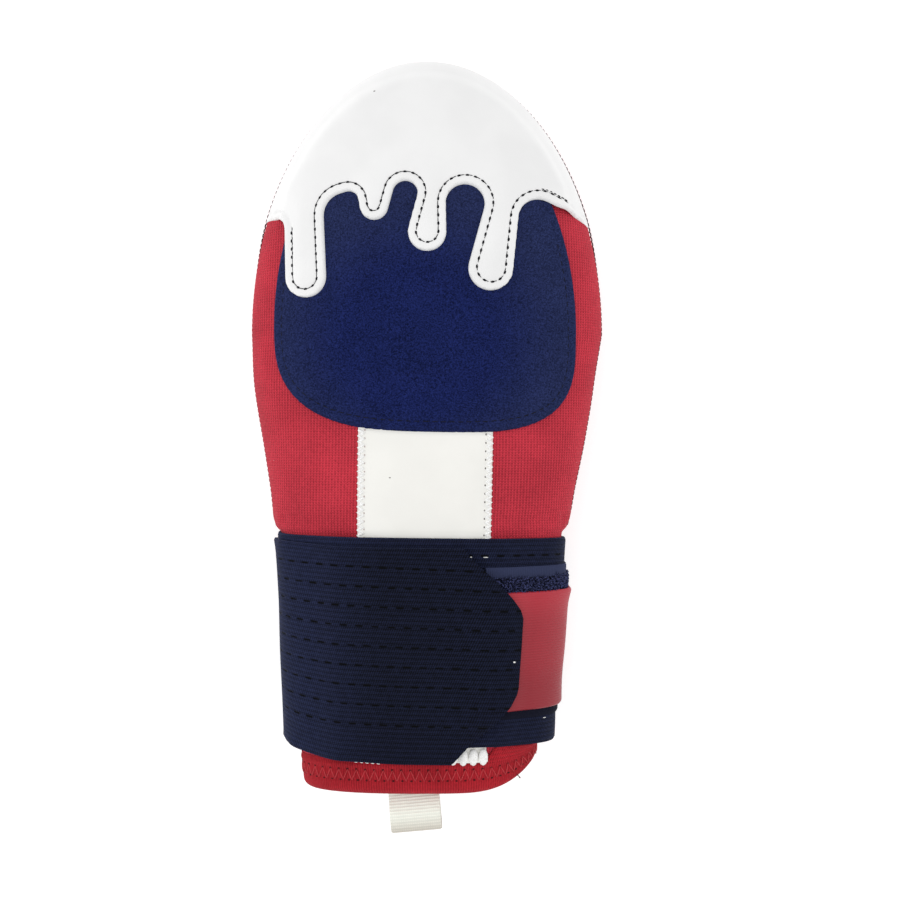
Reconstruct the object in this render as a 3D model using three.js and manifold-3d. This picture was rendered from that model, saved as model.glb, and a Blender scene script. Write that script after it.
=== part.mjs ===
import * as THREE from 'three';
import Module from 'manifold-3d';

// Baseball sliding mitt, lying palm down with the fingertips toward +Y.
// Sizes are in millimetres. A surface of the hand is found from a station along Y,
// an angle round the section (0 at +X, a quarter turn on the back) and an offset outward.

const GAP = 0.3;
// Corners nearer to each other than one part in this many of a millimetre are one corner
const CORNER_GRID = 1e4;
const TINY = 1e-6;

// Hand compartment
const SHELL_WALL = 4;
const NOSE_START = 40.7;
const NOSE_LENGTH = 102.75;
const NOSE_POWER = 2.6;
const TIP_DROP = 3;
const BACK_POWER = 2.5;
const PALM_POWER = 3;
const MOUTH_Y = -126.3;
const MOUTH_RISE = 13.5;
const MOUTH_RISE_POWER = 3.5;
const MOUTH_RISE_FROM_X = 8;
const MOUTH_RISE_SPAN = 34;
const MOUTH_RISE_START_Y = -109;
const SECTIONS = [
  { y: -126.3, centre: -2.6, half: 42.0, seam: 22.6, back: 16.0, palm: 18.6 },
  { y: -116, centre: -2.7, half: 43.2, seam: 22.8, back: 16.6, palm: 19.8 },
  { y: -111, centre: -2.2, half: 46.2, seam: 22.9, back: 17.2, palm: 21.0 },
  { y: -108, centre: -2.0, half: 48.2, seam: 23.0, back: 17.6, palm: 21.3 },
  { y: -90, centre: -2.2, half: 48.8, seam: 23.0, back: 18.2, palm: 21.3 },
  { y: -74, centre: -1.9, half: 49.8, seam: 23.0, back: 18.6, palm: 21.3 },
  { y: -54, centre: -1.5, half: 50.8, seam: 22.9, back: 19.2, palm: 21.2 },
  { y: -33, centre: -1.8, half: 52.0, seam: 22.8, back: 19.7, palm: 21.1 },
  { y: -30, centre: -2.0, half: 54.4, seam: 22.6, back: 21.0, palm: 20.9 },
  { y: -16, centre: -1.5, half: 57.1, seam: 21.8, back: 22.4, palm: 20.9 },
  { y: 2, centre: -1.1, half: 60.5, seam: 20.8, back: 23.8, palm: 20.9 },
  { y: 20, centre: -1.1, half: 63.5, seam: 20.2, back: 24.7, palm: 20.7 },
  { y: 40.7, centre: 0.0, half: 65.7, seam: 20.0, back: 25.0, palm: 20.6 },
];
const WRIST_STATIONS = [-126.3, -120.5, -114.7, -111, -108, -90, -74, -54, -44, -33, -30, -16, 2, 20, 40.7];
const NOSE_STEPS = 10;
const HALF_STEPS = 20;

// Padded navy panel on the back of the hand
const PAD = {
  thick: 1.9, leftHalf: 55.0, rightHalf: 54.6, middleY: 40.7, reach: 84.8, depth: 37.2,
  upperPower: 2, leftPower: 2.8, rightPower: 3.4, steps: 14,
};

// White fingertip cap with drips, thinned from the pad down to the shell near its outer edge
const CAP = { thick: 1.2, overPad: 0.855, onShell: 0.94, trimX: 75, trimLowY: 76, trimTopY: 170 };
const DRIP_EDGE = [
  { x: -61.0, y: 83.4, radius: 0, bend: 1 },
  { x: -53.3, y: 77.6, radius: 2.7, bend: -1 },
  { x: -43.0, y: 59.1, radius: 7.3, bend: 1 },
  { x: -28.8, y: 81.5, radius: 8.0, bend: -1 },
  { x: -27.8, y: 86.0, radius: 3.9, bend: -1 },
  { x: -18.4, y: 84.2, radius: 5.0, bend: 1 },
  { x: -7.3, y: 88.9, radius: 4.5, bend: -1 },
  { x: 0.6, y: 74.7, radius: 6.8, bend: 1 },
  { x: 14.2, y: 85.2, radius: 7.0, bend: -1 },
  { x: 23.2, y: 61.8, radius: 7.9, bend: 1 },
  { x: 41.0, y: 79.5, radius: 8.0, bend: -1 },
  { x: 60.2, y: 80.4, radius: 0, bend: 1 },
];
const DRIP_TURN_STEP = 0.42;

// Upright body that trims a layer to its outline
const CUTTER = { lowZ: -10, height: 80 };

// White strip down the middle of the back
const STRIP = {
  thick: 1.2, leftTop: -24.2, leftEnd: -25.7, rightTop: 24.2, rightEnd: 21.9, columns: 6, clear: 1,
};

// Tape folded over the cuff's edge, with a small round at each fold
const HEM = { thick: 0.9, depth: 11.6, roundFrom: 0.8, roundTo: 0.5, roundDrop: 0.35 };

// Elastic wrist strap, wound from the lower left over the back, under the palm and back to the top
const STRAP = {
  thick: 1.4, width: 76, topY: -33.1, drift: 6, start: Math.PI + 0.5, stepsPerTurn: 44,
  endX: 34, endFrom: 0.05, endSteps: 9, middleY: -74, layers: 5,
};
const STRAP_END = [
  { drop: 0, x: 13.4 },
  { drop: 11.5, x: 24.6 },
  { drop: 16.8, x: 29.6 },
  { drop: 22, x: 33.7 },
  { drop: 34, x: 34.2 },
  { drop: 48.6, x: 34 },
  { drop: 55, x: 31 },
  { drop: 59, x: 27.2 },
  { drop: 67, x: 19 },
  { drop: 76, x: 9.8 },
];
// Where the strap climbs onto its own inner turn, the pile and the tab
const CLIMB = {
  turnFrom: 0.38, turnTo: 0.06, patchFrom: 0.08, patchLead: 0.05, tabFrom: 0.26, tabLead: 0.1,
};
const LIE_DOWN = { from: 60, to: 70 };
// How the tightened outer turn creeps up on the left: its top edge, then its low corner
const CREEP = {
  from: 6.3, to: 6.9, top: 0.95, topSlope: -0.031, topLeast: 0.2, topMost: 2.7, topFade: 7,
  low: 5.2, lowFromX: -28, lowSpan: 30, lowMost: 1.1, sag: 0.6, sagFromX: -35,
};
// The wrist's section that the wrapped pieces keep to past these stations
const BAND = { lowY: -108, topY: -33 };
const STRIP_REACH = 0.52;
const STRIP_FADE = 0.75;

// Fastening pile and rubber tab under the strap's end, each wrapped round the right side
const PATCH = {
  thick: 0.7, topY: -44.7, lowY: -99.5, startX: 21, endAngle: -0.62, corner: 0,
  columns: [0, 0.2, 0.4, 0.6, 0.8, 1],
};
const TAB = {
  thick: 1.3, topY: -53.7, lowY: -96.5, startX: 28.4, endAngle: -0.5, corner: 6,
  columns: [0, 0.04, 0.12, 0.35, 0.65, 0.88, 0.96, 1],
};
const WRAP_STEPS = 18;
const SIDE_RADIUS = 24;

// Webbing loop held inside the cuff: stations of its legs, and its rounded fold
const LOOP = {
  width: 18.5, thick: 1.3, x: -4.4, yaw: 0.087, legs: [-115, -121, -127.8, -130, -132, -134, -136],
  leaveY: -127.8, roundY: -136, endY: -142.7, topZ: 33.0, radius: 3.6, foldSteps: 8,
};

const FINISHES = {
  knit: { colour: '#b53641', roughness: 0.9 },
  nap: { colour: '#1c2450', roughness: 0.95 },
  hide: { colour: '#f0f0f0', roughness: 0.45 },
  tape: { colour: '#9a2a33', roughness: 0.8 },
  elastic: { colour: '#20233a', roughness: 0.85 },
  pile: { colour: '#212435', roughness: 1 },
  rubber: { colour: '#9c3c49', roughness: 0.55 },
  webbing: { colour: '#e4e1d6', roughness: 0.9 },
};

const { clamp, lerp, smoothstep } = THREE.MathUtils;

const wasm = await Module();
wasm.setup();

// Monotone curve through one column of the section table
function sectionValue(key, y) {
  const rows = SECTIONS;
  const at = clamp(y, rows[0].y, rows[rows.length - 1].y);
  let i = 0;
  while (i < rows.length - 2 && at > rows[i + 1].y) {
    i += 1;
  }
  const slope = (k) => (rows[k + 1][key] - rows[k][key]) / (rows[k + 1].y - rows[k].y);
  const tangent = (k) => {
    if (k === 0) {
      return slope(0);
    }
    if (k === rows.length - 1) {
      return slope(k - 1);
    }
    const before = slope(k - 1);
    const after = slope(k);
    return before * after <= 0 ? 0 : (2 * before * after) / (before + after);
  };
  const run = rows[i + 1].y - rows[i].y;
  const t = (at - rows[i].y) / run;
  const a = rows[i][key];
  const b = rows[i + 1][key];
  const enter = (t ** 3 - 2 * t ** 2 + t) * run * tangent(i);
  const leave = (t ** 3 - t ** 2) * run * tangent(i + 1);
  return (2 * t ** 3 - 3 * t ** 2 + 1) * a + enter + (3 * t ** 2 - 2 * t ** 3) * b + leave;
}

function section(y) {
  return {
    centre: sectionValue('centre', y),
    half: sectionValue('half', y),
    seam: sectionValue('seam', y),
    back: sectionValue('back', y),
    palm: sectionValue('palm', y),
  };
}

// Unit section: how far across and how far up an angle reaches
function ring(angle) {
  const c = Math.cos(angle);
  const s = Math.sin(angle);
  const power = s >= 0 ? BACK_POWER : PALM_POWER;
  const scale = (Math.abs(c) ** power + Math.abs(s) ** power) ** (1 / power);
  return { across: c / scale, up: s / scale };
}

function backAngle(across) {
  const t = clamp(across, -1, 1);
  return Math.atan2((1 - Math.abs(t) ** BACK_POWER) ** (1 / BACK_POWER), t);
}

function mouthRise(x) {
  return MOUTH_RISE * Math.max(0, (x - MOUTH_RISE_FROM_X) / MOUTH_RISE_SPAN) ** MOUTH_RISE_POWER;
}

function mouthShare(station) {
  return Math.max(0, (MOUTH_RISE_START_Y - station) / (MOUTH_RISE_START_Y - MOUTH_Y));
}

function skin(station, angle, offset) {
  const nose = Math.max(0, (station - NOSE_START) / NOSE_LENGTH);
  const body = section(Math.min(station, NOSE_START));
  const plan = Math.sqrt(Math.max(0, 1 - nose ** 2));
  const rise = Math.max(0, 1 - nose ** NOSE_POWER) ** (1 / NOSE_POWER);
  const { across, up } = ring(angle);
  const tall = up >= 0 ? body.back : body.palm;
  const x = body.centre + (body.half + offset) * plan * across;
  const bareX = body.centre + body.half * plan * across;
  const risen = station + mouthRise(bareX) * mouthShare(station);
  const y = nose > 0 ? NOSE_START + (NOSE_LENGTH + offset) * nose : risen;
  const z = body.seam - TIP_DROP * nose ** 2 + (tall + offset) * rise * up;
  return [x, y, Math.max(z, 0)];
}

// Height of the back surface above a point of the plan, for the part of the hand behind the nose
function backHeight(x, y, offset) {
  const full = MOUTH_RISE_START_Y - MOUTH_Y;
  const station = y < MOUTH_RISE_START_Y
    ? MOUTH_RISE_START_Y - ((MOUTH_RISE_START_Y - y) * full) / (full - mouthRise(x))
    : y;
  const body = section(station);
  const t = Math.abs(x - body.centre) / (body.half + offset);
  return body.seam + (body.back + offset) * (1 - Math.min(t, 1) ** BACK_POWER) ** (1 / BACK_POWER);
}

// Joins triangles at shared corners, drops empty ones and turns the whole outward
function joined(triangles) {
  const corners = [];
  const faces = [];
  const known = new Map();
  const corner = (p) => {
    const key = p.map((v) => Math.round(v * CORNER_GRID)).join(' ');
    if (!known.has(key)) {
      known.set(key, corners.length);
      corners.push(p);
    }
    return known.get(key);
  };
  for (const triangle of triangles) {
    const [a, b, c] = triangle.map(corner);
    if (a !== b && b !== c && a !== c) {
      faces.push([a, b, c]);
    }
  }
  let volume = 0;
  for (const [a, b, c] of faces) {
    const [p, q, r] = [corners[a], corners[b], corners[c]];
    volume += p[0] * (q[1] * r[2] - q[2] * r[1]);
    volume += p[1] * (q[2] * r[0] - q[0] * r[2]);
    volume += p[2] * (q[0] * r[1] - q[1] * r[0]);
  }
  return { corners, faces: volume < 0 ? faces.map(([a, b, c]) => [a, c, b]) : faces };
}

function quad(list, a, b, c, d) {
  list.push([a, b, c], [a, c, d]);
}

// Closed slab between two grids of points with the same rows and columns
function slab(outer, inner) {
  const list = [];
  const rows = outer.length - 1;
  const columns = outer[0].length - 1;
  for (let r = 0; r < rows; r += 1) {
    for (let c = 0; c < columns; c += 1) {
      quad(list, outer[r][c], outer[r][c + 1], outer[r + 1][c + 1], outer[r + 1][c]);
      quad(list, inner[r][c], inner[r + 1][c], inner[r + 1][c + 1], inner[r][c + 1]);
    }
    quad(list, outer[r][0], outer[r + 1][0], inner[r + 1][0], inner[r][0]);
    quad(list, outer[r + 1][columns], outer[r][columns], inner[r][columns], inner[r + 1][columns]);
  }
  for (let c = 0; c < columns; c += 1) {
    quad(list, outer[0][c + 1], outer[0][c], inner[0][c], inner[0][c + 1]);
    quad(list, outer[rows][c], outer[rows][c + 1], inner[rows][c + 1], inner[rows][c]);
  }
  return joined(list);
}

// Closed ring of closed outlines
function hoop(outlines) {
  const list = [];
  outlines.forEach((outline, i) => {
    const next = outlines[(i + 1) % outlines.length];
    outline.forEach((point, j) => {
      const k = (j + 1) % outline.length;
      quad(list, point, outline[k], next[k], next[j]);
    });
  });
  return joined(list);
}

function solidOf({ corners, faces }) {
  return new wasm.Manifold(new wasm.Mesh({
    numProp: 3,
    vertProperties: new Float32Array(corners.flat()),
    triVerts: new Uint32Array(faces.flat()),
  }));
}

function meshOf(solid) {
  const mesh = solid.getMesh();
  const at = (i) => Array.from(mesh.vertProperties.slice(i * mesh.numProp, i * mesh.numProp + 3));
  const list = [];
  for (let i = 0; i < mesh.triVerts.length; i += 3) {
    list.push([at(mesh.triVerts[i]), at(mesh.triVerts[i + 1]), at(mesh.triVerts[i + 2])]);
  }
  return joined(list);
}

// Upright cutter with the outline of a piece seen from above
function cutter(outline) {
  const shape = new THREE.Shape(outline.map(([x, y]) => new THREE.Vector2(x, y)));
  const body = new THREE.ExtrudeGeometry(shape, { depth: CUTTER.height, bevelEnabled: false, steps: 1 });
  body.translate(0, 0, CUTTER.lowZ);
  const flat = body.index ? body.toNonIndexed() : body;
  const place = flat.attributes.position;
  const list = [];
  for (let i = 0; i < place.count; i += 3) {
    list.push([0, 1, 2].map((k) => [place.getX(i + k), place.getY(i + k), place.getZ(i + k)]));
  }
  return solidOf(joined(list));
}

const STATIONS = [...WRIST_STATIONS];
for (let i = 1; i <= NOSE_STEPS; i += 1) {
  STATIONS.push(NOSE_START + NOSE_LENGTH * Math.sin((Math.PI / 2) * (i / NOSE_STEPS)));
}

// Stations a layer needs when it is trimmed off below y
function stationsFrom(y) {
  return STATIONS.filter((station, i) => !(STATIONS[i + 1] <= y));
}

// One side of the hand: 1 for the back, -1 for the palm
function sidePanel(side, stations, innerOffset, outerOffset) {
  const grid = (offset) => stations.map((station) => {
    const row = [];
    for (let i = 0; i <= HALF_STEPS; i += 1) {
      const angle = (side * Math.PI * i) / HALF_STEPS;
      const [x, y, z] = skin(station, angle, offset(station, angle));
      row.push([x, y, z + (side * GAP) / 2 * (z > 0 ? 1 : 0)]);
    }
    return row;
  });
  return slab(grid(outerOffset), grid(innerOffset));
}

function shellPanel(side) {
  return sidePanel(side, STATIONS, () => -SHELL_WALL, () => 0);
}

function padOutline() {
  const outline = [];
  const quarter = (sx, sy, half, tall, power) => {
    for (let i = 0; i < PAD.steps; i += 1) {
      const turn = (Math.PI / 2) * (i / PAD.steps);
      const swap = sx * sy < 0 ? Math.PI / 2 - turn : turn;
      const c = Math.cos(swap) ** (2 / power);
      const s = Math.sin(swap) ** (2 / power);
      outline.push([sx * half * c, PAD.middleY + sy * tall * s]);
    }
  };
  quarter(1, 1, PAD.rightHalf, PAD.reach, PAD.upperPower);
  quarter(-1, 1, PAD.leftHalf, PAD.reach, PAD.upperPower);
  quarter(-1, -1, PAD.leftHalf, PAD.depth, PAD.leftPower);
  quarter(1, -1, PAD.rightHalf, PAD.depth, PAD.rightPower);
  return outline;
}

function padLowEdge(x) {
  const power = x < 0 ? PAD.leftPower : PAD.rightPower;
  const half = x < 0 ? PAD.leftHalf : PAD.rightHalf;
  return PAD.middleY - PAD.depth * (1 - (Math.abs(x) / half) ** power) ** (1 / power);
}

function backPad() {
  const stations = stationsFrom(PAD.middleY - PAD.depth);
  const layer = sidePanel(1, stations, () => GAP, () => GAP + PAD.thick);
  return meshOf(solidOf(layer).intersect(cutter(padOutline())));
}

// Arcs of the drip edge in turn, joined by the straight lines that touch both
function dripLine() {
  const lines = [];
  for (let i = 0; i < DRIP_EDGE.length - 1; i += 1) {
    const a = DRIP_EDGE[i];
    const b = DRIP_EDGE[i + 1];
    const apart = Math.hypot(b.x - a.x, b.y - a.y);
    const heading = Math.atan2(b.y - a.y, b.x - a.x)
      + Math.asin(clamp((a.bend * a.radius - b.bend * b.radius) / apart, -1, 1));
    lines.push(heading);
  }
  const outline = [];
  DRIP_EDGE.forEach((arc, i) => {
    const first = lines[Math.max(i - 1, 0)];
    const last = lines[Math.min(i, lines.length - 1)];
    let sweep = last - first;
    while (arc.bend * sweep < -TINY) {
      sweep += arc.bend * 2 * Math.PI;
    }
    const steps = arc.radius > 0 ? Math.max(2, Math.ceil(Math.abs(sweep) / DRIP_TURN_STEP)) : 0;
    for (let k = 0; k <= steps; k += 1) {
      const heading = first + (steps ? (sweep * k) / steps : 0);
      const x = arc.x + arc.bend * arc.radius * Math.sin(heading);
      const y = arc.y - arc.bend * arc.radius * Math.cos(heading);
      outline.push([x, y]);
    }
  });
  return outline;
}

function tipCap() {
  const under = (station, angle) => {
    const nose = Math.max(0, (station - NOSE_START) / NOSE_LENGTH);
    const plan = Math.sqrt(Math.max(0, 1 - nose ** 2));
    const out = Math.hypot(plan * ring(angle).across, nose);
    return GAP + (GAP + PAD.thick) * (1 - smoothstep(out, CAP.overPad, CAP.onShell));
  };
  const stations = stationsFrom(Math.min(...DRIP_EDGE.map(({ y, radius }) => y - radius)));
  const layer = sidePanel(1, stations, under, (station, angle) => under(station, angle) + CAP.thick);
  const { trimX, trimLowY, trimTopY } = CAP;
  const above = [[trimX, trimLowY], [trimX, trimTopY], [-trimX, trimTopY]];
  const outline = [[-trimX, trimLowY], ...dripLine(), ...above];
  return meshOf(solidOf(layer).intersect(cutter(outline)));
}

function centreStrip() {
  const lowY = MOUTH_Y + HEM.depth + GAP;
  const topStation = padLowEdge(0) - GAP - STRIP.clear;
  const stations = STATIONS.filter((y) => y > lowY + STRIP.clear && y < topStation);
  const lines = [];
  for (let c = 0; c <= STRIP.columns; c += 1) {
    const share = c / STRIP.columns;
    const topX = lerp(STRIP.leftTop, STRIP.rightTop, share);
    const lowX = lerp(STRIP.leftEnd, STRIP.rightEnd, share);
    const topY = padLowEdge(topX) - GAP;
    lines.push([...stations, topY].map((y) => [lerp(lowX, topX, (y - lowY) / -lowY), y]));
    const foot = lowY + mouthRise(lowX) * mouthShare(lowY);
    lines[c].unshift([lowX, foot]);
  }
  const sheet = (offset) => lines.map((line) => line.map(([x, y]) => [x, y, backHeight(x, y, offset)]));
  return slab(sheet(GAP + STRIP.thick), sheet(GAP));
}

// Folded tape in section: how far along from the cuff's edge, and how far out from the shell
function cuffHem() {
  const out = GAP + HEM.thick;
  const back = -SHELL_WALL - out;
  const bends = WRIST_STATIONS.map((station) => station - MOUTH_Y).filter((a) => a > 0 && a < HEM.depth);
  const inward = [...bends].reverse();
  const { roundFrom, roundTo, roundDrop } = HEM;
  const fold = [
    [HEM.depth, out], ...inward.map((a) => [a, out]), [roundFrom, out], [-roundTo, out - roundDrop],
    [-out, -roundFrom], [-out, -SHELL_WALL + roundFrom], [-roundTo, back + roundDrop], [roundFrom, back],
    ...bends.map((a) => [a, back]), [HEM.depth, back], [HEM.depth, back + HEM.thick],
    ...inward.map((a) => [a, back + HEM.thick]), [-GAP, back + HEM.thick], [-GAP, GAP],
    ...bends.map((a) => [a, GAP]), [HEM.depth, GAP],
  ];
  const outlines = [];
  for (let i = 0; i < HALF_STEPS * 2; i += 1) {
    const angle = (Math.PI * i) / HALF_STEPS;
    const lift = Math.abs(Math.sin(angle)) < TINY ? 0 : Math.sign(Math.sin(angle)) * (GAP / 2);
    outlines.push(fold.map(([along, offset]) => {
      const [x, y, z] = skin(MOUTH_Y + along, angle, offset);
      return [x, y, z + lift];
    }));
  }
  return hoop(outlines);
}

// Point of a band wound round the wrist
function bandPoint(y, angle, offset) {
  const station = clamp(y, BAND.lowY, BAND.topY);
  const [x, , z] = skin(station, angle, offset);
  return [x, y, z];
}

// Extra height of the strap where it crosses the strip on the back
function overStrip(angle) {
  const { across, up } = ring(angle);
  if (up < 0) {
    return 0;
  }
  return (STRIP.thick + GAP) * (1 - smoothstep(Math.abs(across), STRIP_REACH, STRIP_FADE));
}

function acrossAt(x) {
  const body = section(STRAP.middleY);
  return (x - body.centre) / (body.half + STRAP.layers);
}

// Offset of the strap's under face along its winding
function strapOffset(angle, drop) {
  const turned = STRAP.start - angle;
  const second = smoothstep(turned, Math.PI * 2 - CLIMB.turnFrom, Math.PI * 2 - CLIMB.turnTo);
  const { across, up } = ring(angle);
  let offset = GAP + overStrip(angle) + second * (STRAP.thick + GAP);
  if (turned > Math.PI * 2 && up > 0) {
    const inside = 1 - smoothstep(drop, LIE_DOWN.from, LIE_DOWN.to);
    const patch = smoothstep(across, CLIMB.patchFrom, acrossAt(PATCH.startX) - CLIMB.patchLead);
    const tab = smoothstep(across, CLIMB.tabFrom, acrossAt(TAB.startX) - CLIMB.tabLead);
    offset += inside * (patch * (PATCH.thick + GAP) + tab * (TAB.thick + GAP));
  }
  return offset;
}

function creep(x, drop) {
  const down = drop / STRAP.width;
  const lead = clamp(CREEP.top + CREEP.topSlope * x, CREEP.topLeast, CREEP.topMost);
  const corner = clamp((CREEP.lowFromX - x) / CREEP.lowSpan, 0, CREEP.lowMost) ** 2;
  const low = CREEP.low * corner - CREEP.sag * smoothstep(x, CREEP.sagFromX, 0);
  return lead * smoothstep(drop, 0, CREEP.topFade) * (1 - down) + low * down;
}

function wristStrap() {
  const step = (Math.PI * 2) / STRAP.stepsPerTurn;
  const turnTo = Math.PI / 2 - STRAP.endFrom - Math.PI * 2;
  const plain = Math.floor((STRAP.start - turnTo) / step);
  const last = STRAP.endSteps;
  const reach = STRAP.start - (backAngle(acrossAt(STRAP.endX)) - Math.PI * 2);
  const grid = (extra) => STRAP_END.map(({ drop, x }) => {
    const end = backAngle(acrossAt(x)) - Math.PI * 2;
    const from = STRAP.start - plain * step;
    const angles = [];
    for (let i = 0; i <= plain; i += 1) {
      angles.push(STRAP.start - i * step);
    }
    for (let i = 1; i <= last; i += 1) {
      angles.push(lerp(from, end, i / last));
    }
    return angles.map((angle) => {
      const turned = STRAP.start - angle;
      const offset = strapOffset(angle, drop);
      const [x] = skin(STRAP.middleY, angle, offset);
      const risen = creep(x, drop) * smoothstep(turned, CREEP.from, CREEP.to);
      const y = STRAP.topY - (STRAP.drift * turned) / reach - drop + risen;
      return bandPoint(y, angle, offset + extra);
    });
  });
  return slab(grid(STRAP.thick), grid(0));
}

// Sheet wrapped round the right side of the wrist, on top of the strap's inner turn
function sideSheet(piece, under) {
  const start = backAngle(acrossAt(piece.startX));
  const { corner } = piece;
  const lines = (extra) => piece.columns.map((share) => {
    const y = lerp(piece.lowY, piece.topY, share);
    const edge = Math.min(y - piece.lowY, piece.topY - y);
    const short = edge < corner ? corner - Math.sqrt(corner ** 2 - (corner - edge) ** 2) : 0;
    const end = piece.endAngle + short / SIDE_RADIUS;
    const line = [];
    for (let i = 0; i <= WRAP_STEPS; i += 1) {
      const angle = lerp(start, end, i / WRAP_STEPS);
      line.push(bandPoint(y, angle, under + overStrip(angle) + extra));
    }
    return line;
  });
  return slab(lines(piece.thick), lines(0));
}

function loopPatch() {
  return sideSheet(PATCH, STRAP.thick + GAP * 2);
}

function strapTab() {
  return sideSheet(TAB, STRAP.thick + PATCH.thick + GAP * 3);
}

// Loop of webbing: a centre line in the YZ plane, thickened and spread across
function pullLoop() {
  const middleZ = LOOP.topZ - LOOP.thick - GAP / 2;
  const closed = (LOOP.thick + GAP) / 2;
  const roundY = LOOP.endY + LOOP.radius + LOOP.thick / 2;
  const opened = (y) => lerp(closed, LOOP.radius, 1 - smoothstep(y, LOOP.roundY, LOOP.leaveY));
  const legs = [...LOOP.legs, roundY];
  const middle = legs.map((y) => [y, middleZ + opened(y)]);
  for (let i = 1; i < LOOP.foldSteps; i += 1) {
    const turn = Math.PI / 2 + (Math.PI * i) / LOOP.foldSteps;
    middle.push([roundY + LOOP.radius * Math.cos(turn), middleZ + LOOP.radius * Math.sin(turn)]);
  }
  [...legs].reverse().forEach((y) => middle.push([y, middleZ - opened(y)]));
  const side = (away) => middle.map(([y, z], i) => {
    const before = middle[Math.max(i - 1, 0)];
    const after = middle[Math.min(i + 1, middle.length - 1)];
    const long = Math.hypot(after[0] - before[0], after[1] - before[1]);
    return [y - (away * (after[1] - before[1])) / long, z + (away * (after[0] - before[0])) / long];
  });
  const place = ([y, z], across) => {
    const along = y - MOUTH_Y;
    const x = LOOP.x + across * Math.cos(LOOP.yaw) - along * Math.sin(LOOP.yaw);
    return [x, MOUTH_Y + across * Math.sin(LOOP.yaw) + along * Math.cos(LOOP.yaw), z];
  };
  const sheet = (away) => side(away).map((p) => [-0.5, 0.5].map((share) => place(p, share * LOOP.width)));
  return slab(sheet(LOOP.thick / 2), sheet(-LOOP.thick / 2));
}

function piece(name, { corners, faces }, { colour, roughness }) {
  const body = new THREE.BufferGeometry();
  body.setAttribute('position', new THREE.Float32BufferAttribute(corners.flat(), 3));
  body.setIndex(faces.flat());
  body.computeVertexNormals();
  const finish = new THREE.MeshStandardMaterial({ color: colour, roughness, metalness: 0 });
  finish.name = name;
  const mesh = new THREE.Mesh(body, finish);
  mesh.name = name;
  return mesh;
}

const mitt = new THREE.Group();
mitt.name = 'sliding_mitt';
mitt.add(
  piece('back_shell', shellPanel(1), FINISHES.knit),
  piece('palm_shell', shellPanel(-1), FINISHES.knit),
  piece('back_pad', backPad(), FINISHES.nap),
  piece('tip_cap', tipCap(), FINISHES.hide),
  piece('centre_strip', centreStrip(), FINISHES.hide),
  piece('cuff_hem', cuffHem(), FINISHES.tape),
  piece('wrist_strap', wristStrap(), FINISHES.elastic),
  piece('loop_patch', loopPatch(), FINISHES.pile),
  piece('strap_tab', strapTab(), FINISHES.rubber),
  piece('pull_loop', pullLoop(), FINISHES.webbing),
);

// The origin is under the middle of the whole part
const extent = new THREE.Box3().setFromObject(mitt);
const middle = extent.getCenter(new THREE.Vector3());
mitt.children.forEach((mesh) => mesh.geometry.translate(-middle.x, -middle.y, -extent.min.z));

export default mitt;
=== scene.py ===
"""Baseball sliding mitt: the finish of every surface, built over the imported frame.

Sizes are in millimetres until a mesh is made. A surface of the hand is found from a station
along Y, an angle round the section (0 at +X, a quarter turn on the back) and an offset outward.
"""

import math

import bmesh
import bpy
import numpy as np
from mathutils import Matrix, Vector
from mathutils.geometry import delaunay_2d_cdt
from mathutils.kdtree import KDTree


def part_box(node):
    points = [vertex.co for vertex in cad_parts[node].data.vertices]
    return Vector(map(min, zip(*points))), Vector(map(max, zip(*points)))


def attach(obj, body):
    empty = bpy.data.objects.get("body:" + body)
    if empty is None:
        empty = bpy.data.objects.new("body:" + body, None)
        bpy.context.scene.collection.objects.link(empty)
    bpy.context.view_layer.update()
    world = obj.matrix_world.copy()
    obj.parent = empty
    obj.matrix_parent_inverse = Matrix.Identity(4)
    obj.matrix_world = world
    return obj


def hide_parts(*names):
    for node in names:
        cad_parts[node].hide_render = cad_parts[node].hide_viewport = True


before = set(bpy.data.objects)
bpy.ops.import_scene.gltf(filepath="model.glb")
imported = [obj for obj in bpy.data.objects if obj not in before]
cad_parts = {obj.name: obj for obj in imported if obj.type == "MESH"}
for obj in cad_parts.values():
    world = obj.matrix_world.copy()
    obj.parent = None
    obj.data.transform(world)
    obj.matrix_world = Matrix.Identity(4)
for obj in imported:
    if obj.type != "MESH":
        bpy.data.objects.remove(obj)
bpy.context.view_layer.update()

bl_info = {
    "name": "Baseball Sliding Mitt",
    "version": (1, 0, 0),
    "blender": (4, 5, 0),
    "location": "3D View > Sidebar > Sliding Mitt",
    "description": "Builds the fabric, stitching and trim of a sliding mitt",
    "category": "Object",
}

MM = 0.001
GAP = 0.3
SHARP_ANGLE = math.radians(50)
CLOTH_FRAMES = 20
CLOTH_MASS = 0.0005
CLOTH_PRESSURE = 700
# How much closer the panels' columns lie at the side seam
SEAM_CROWDING = 0.6

# Hand compartment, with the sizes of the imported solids
SHELL_WALL = 4.0
NOSE_START = 40.7
NOSE_LENGTH = 102.75
NOSE_POWER = 2.6
TIP_DROP = 3.0
BACK_POWER = 2.5
PALM_POWER = 3.0
MOUTH_Y = -126.3
MOUTH_RISE = 13.5
MOUTH_RISE_FROM_X = 8.0
MOUTH_RISE_SPAN = 34.0
MOUTH_RISE_START = -109.0
MOUTH_RISE_POWER = 3.5
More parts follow.
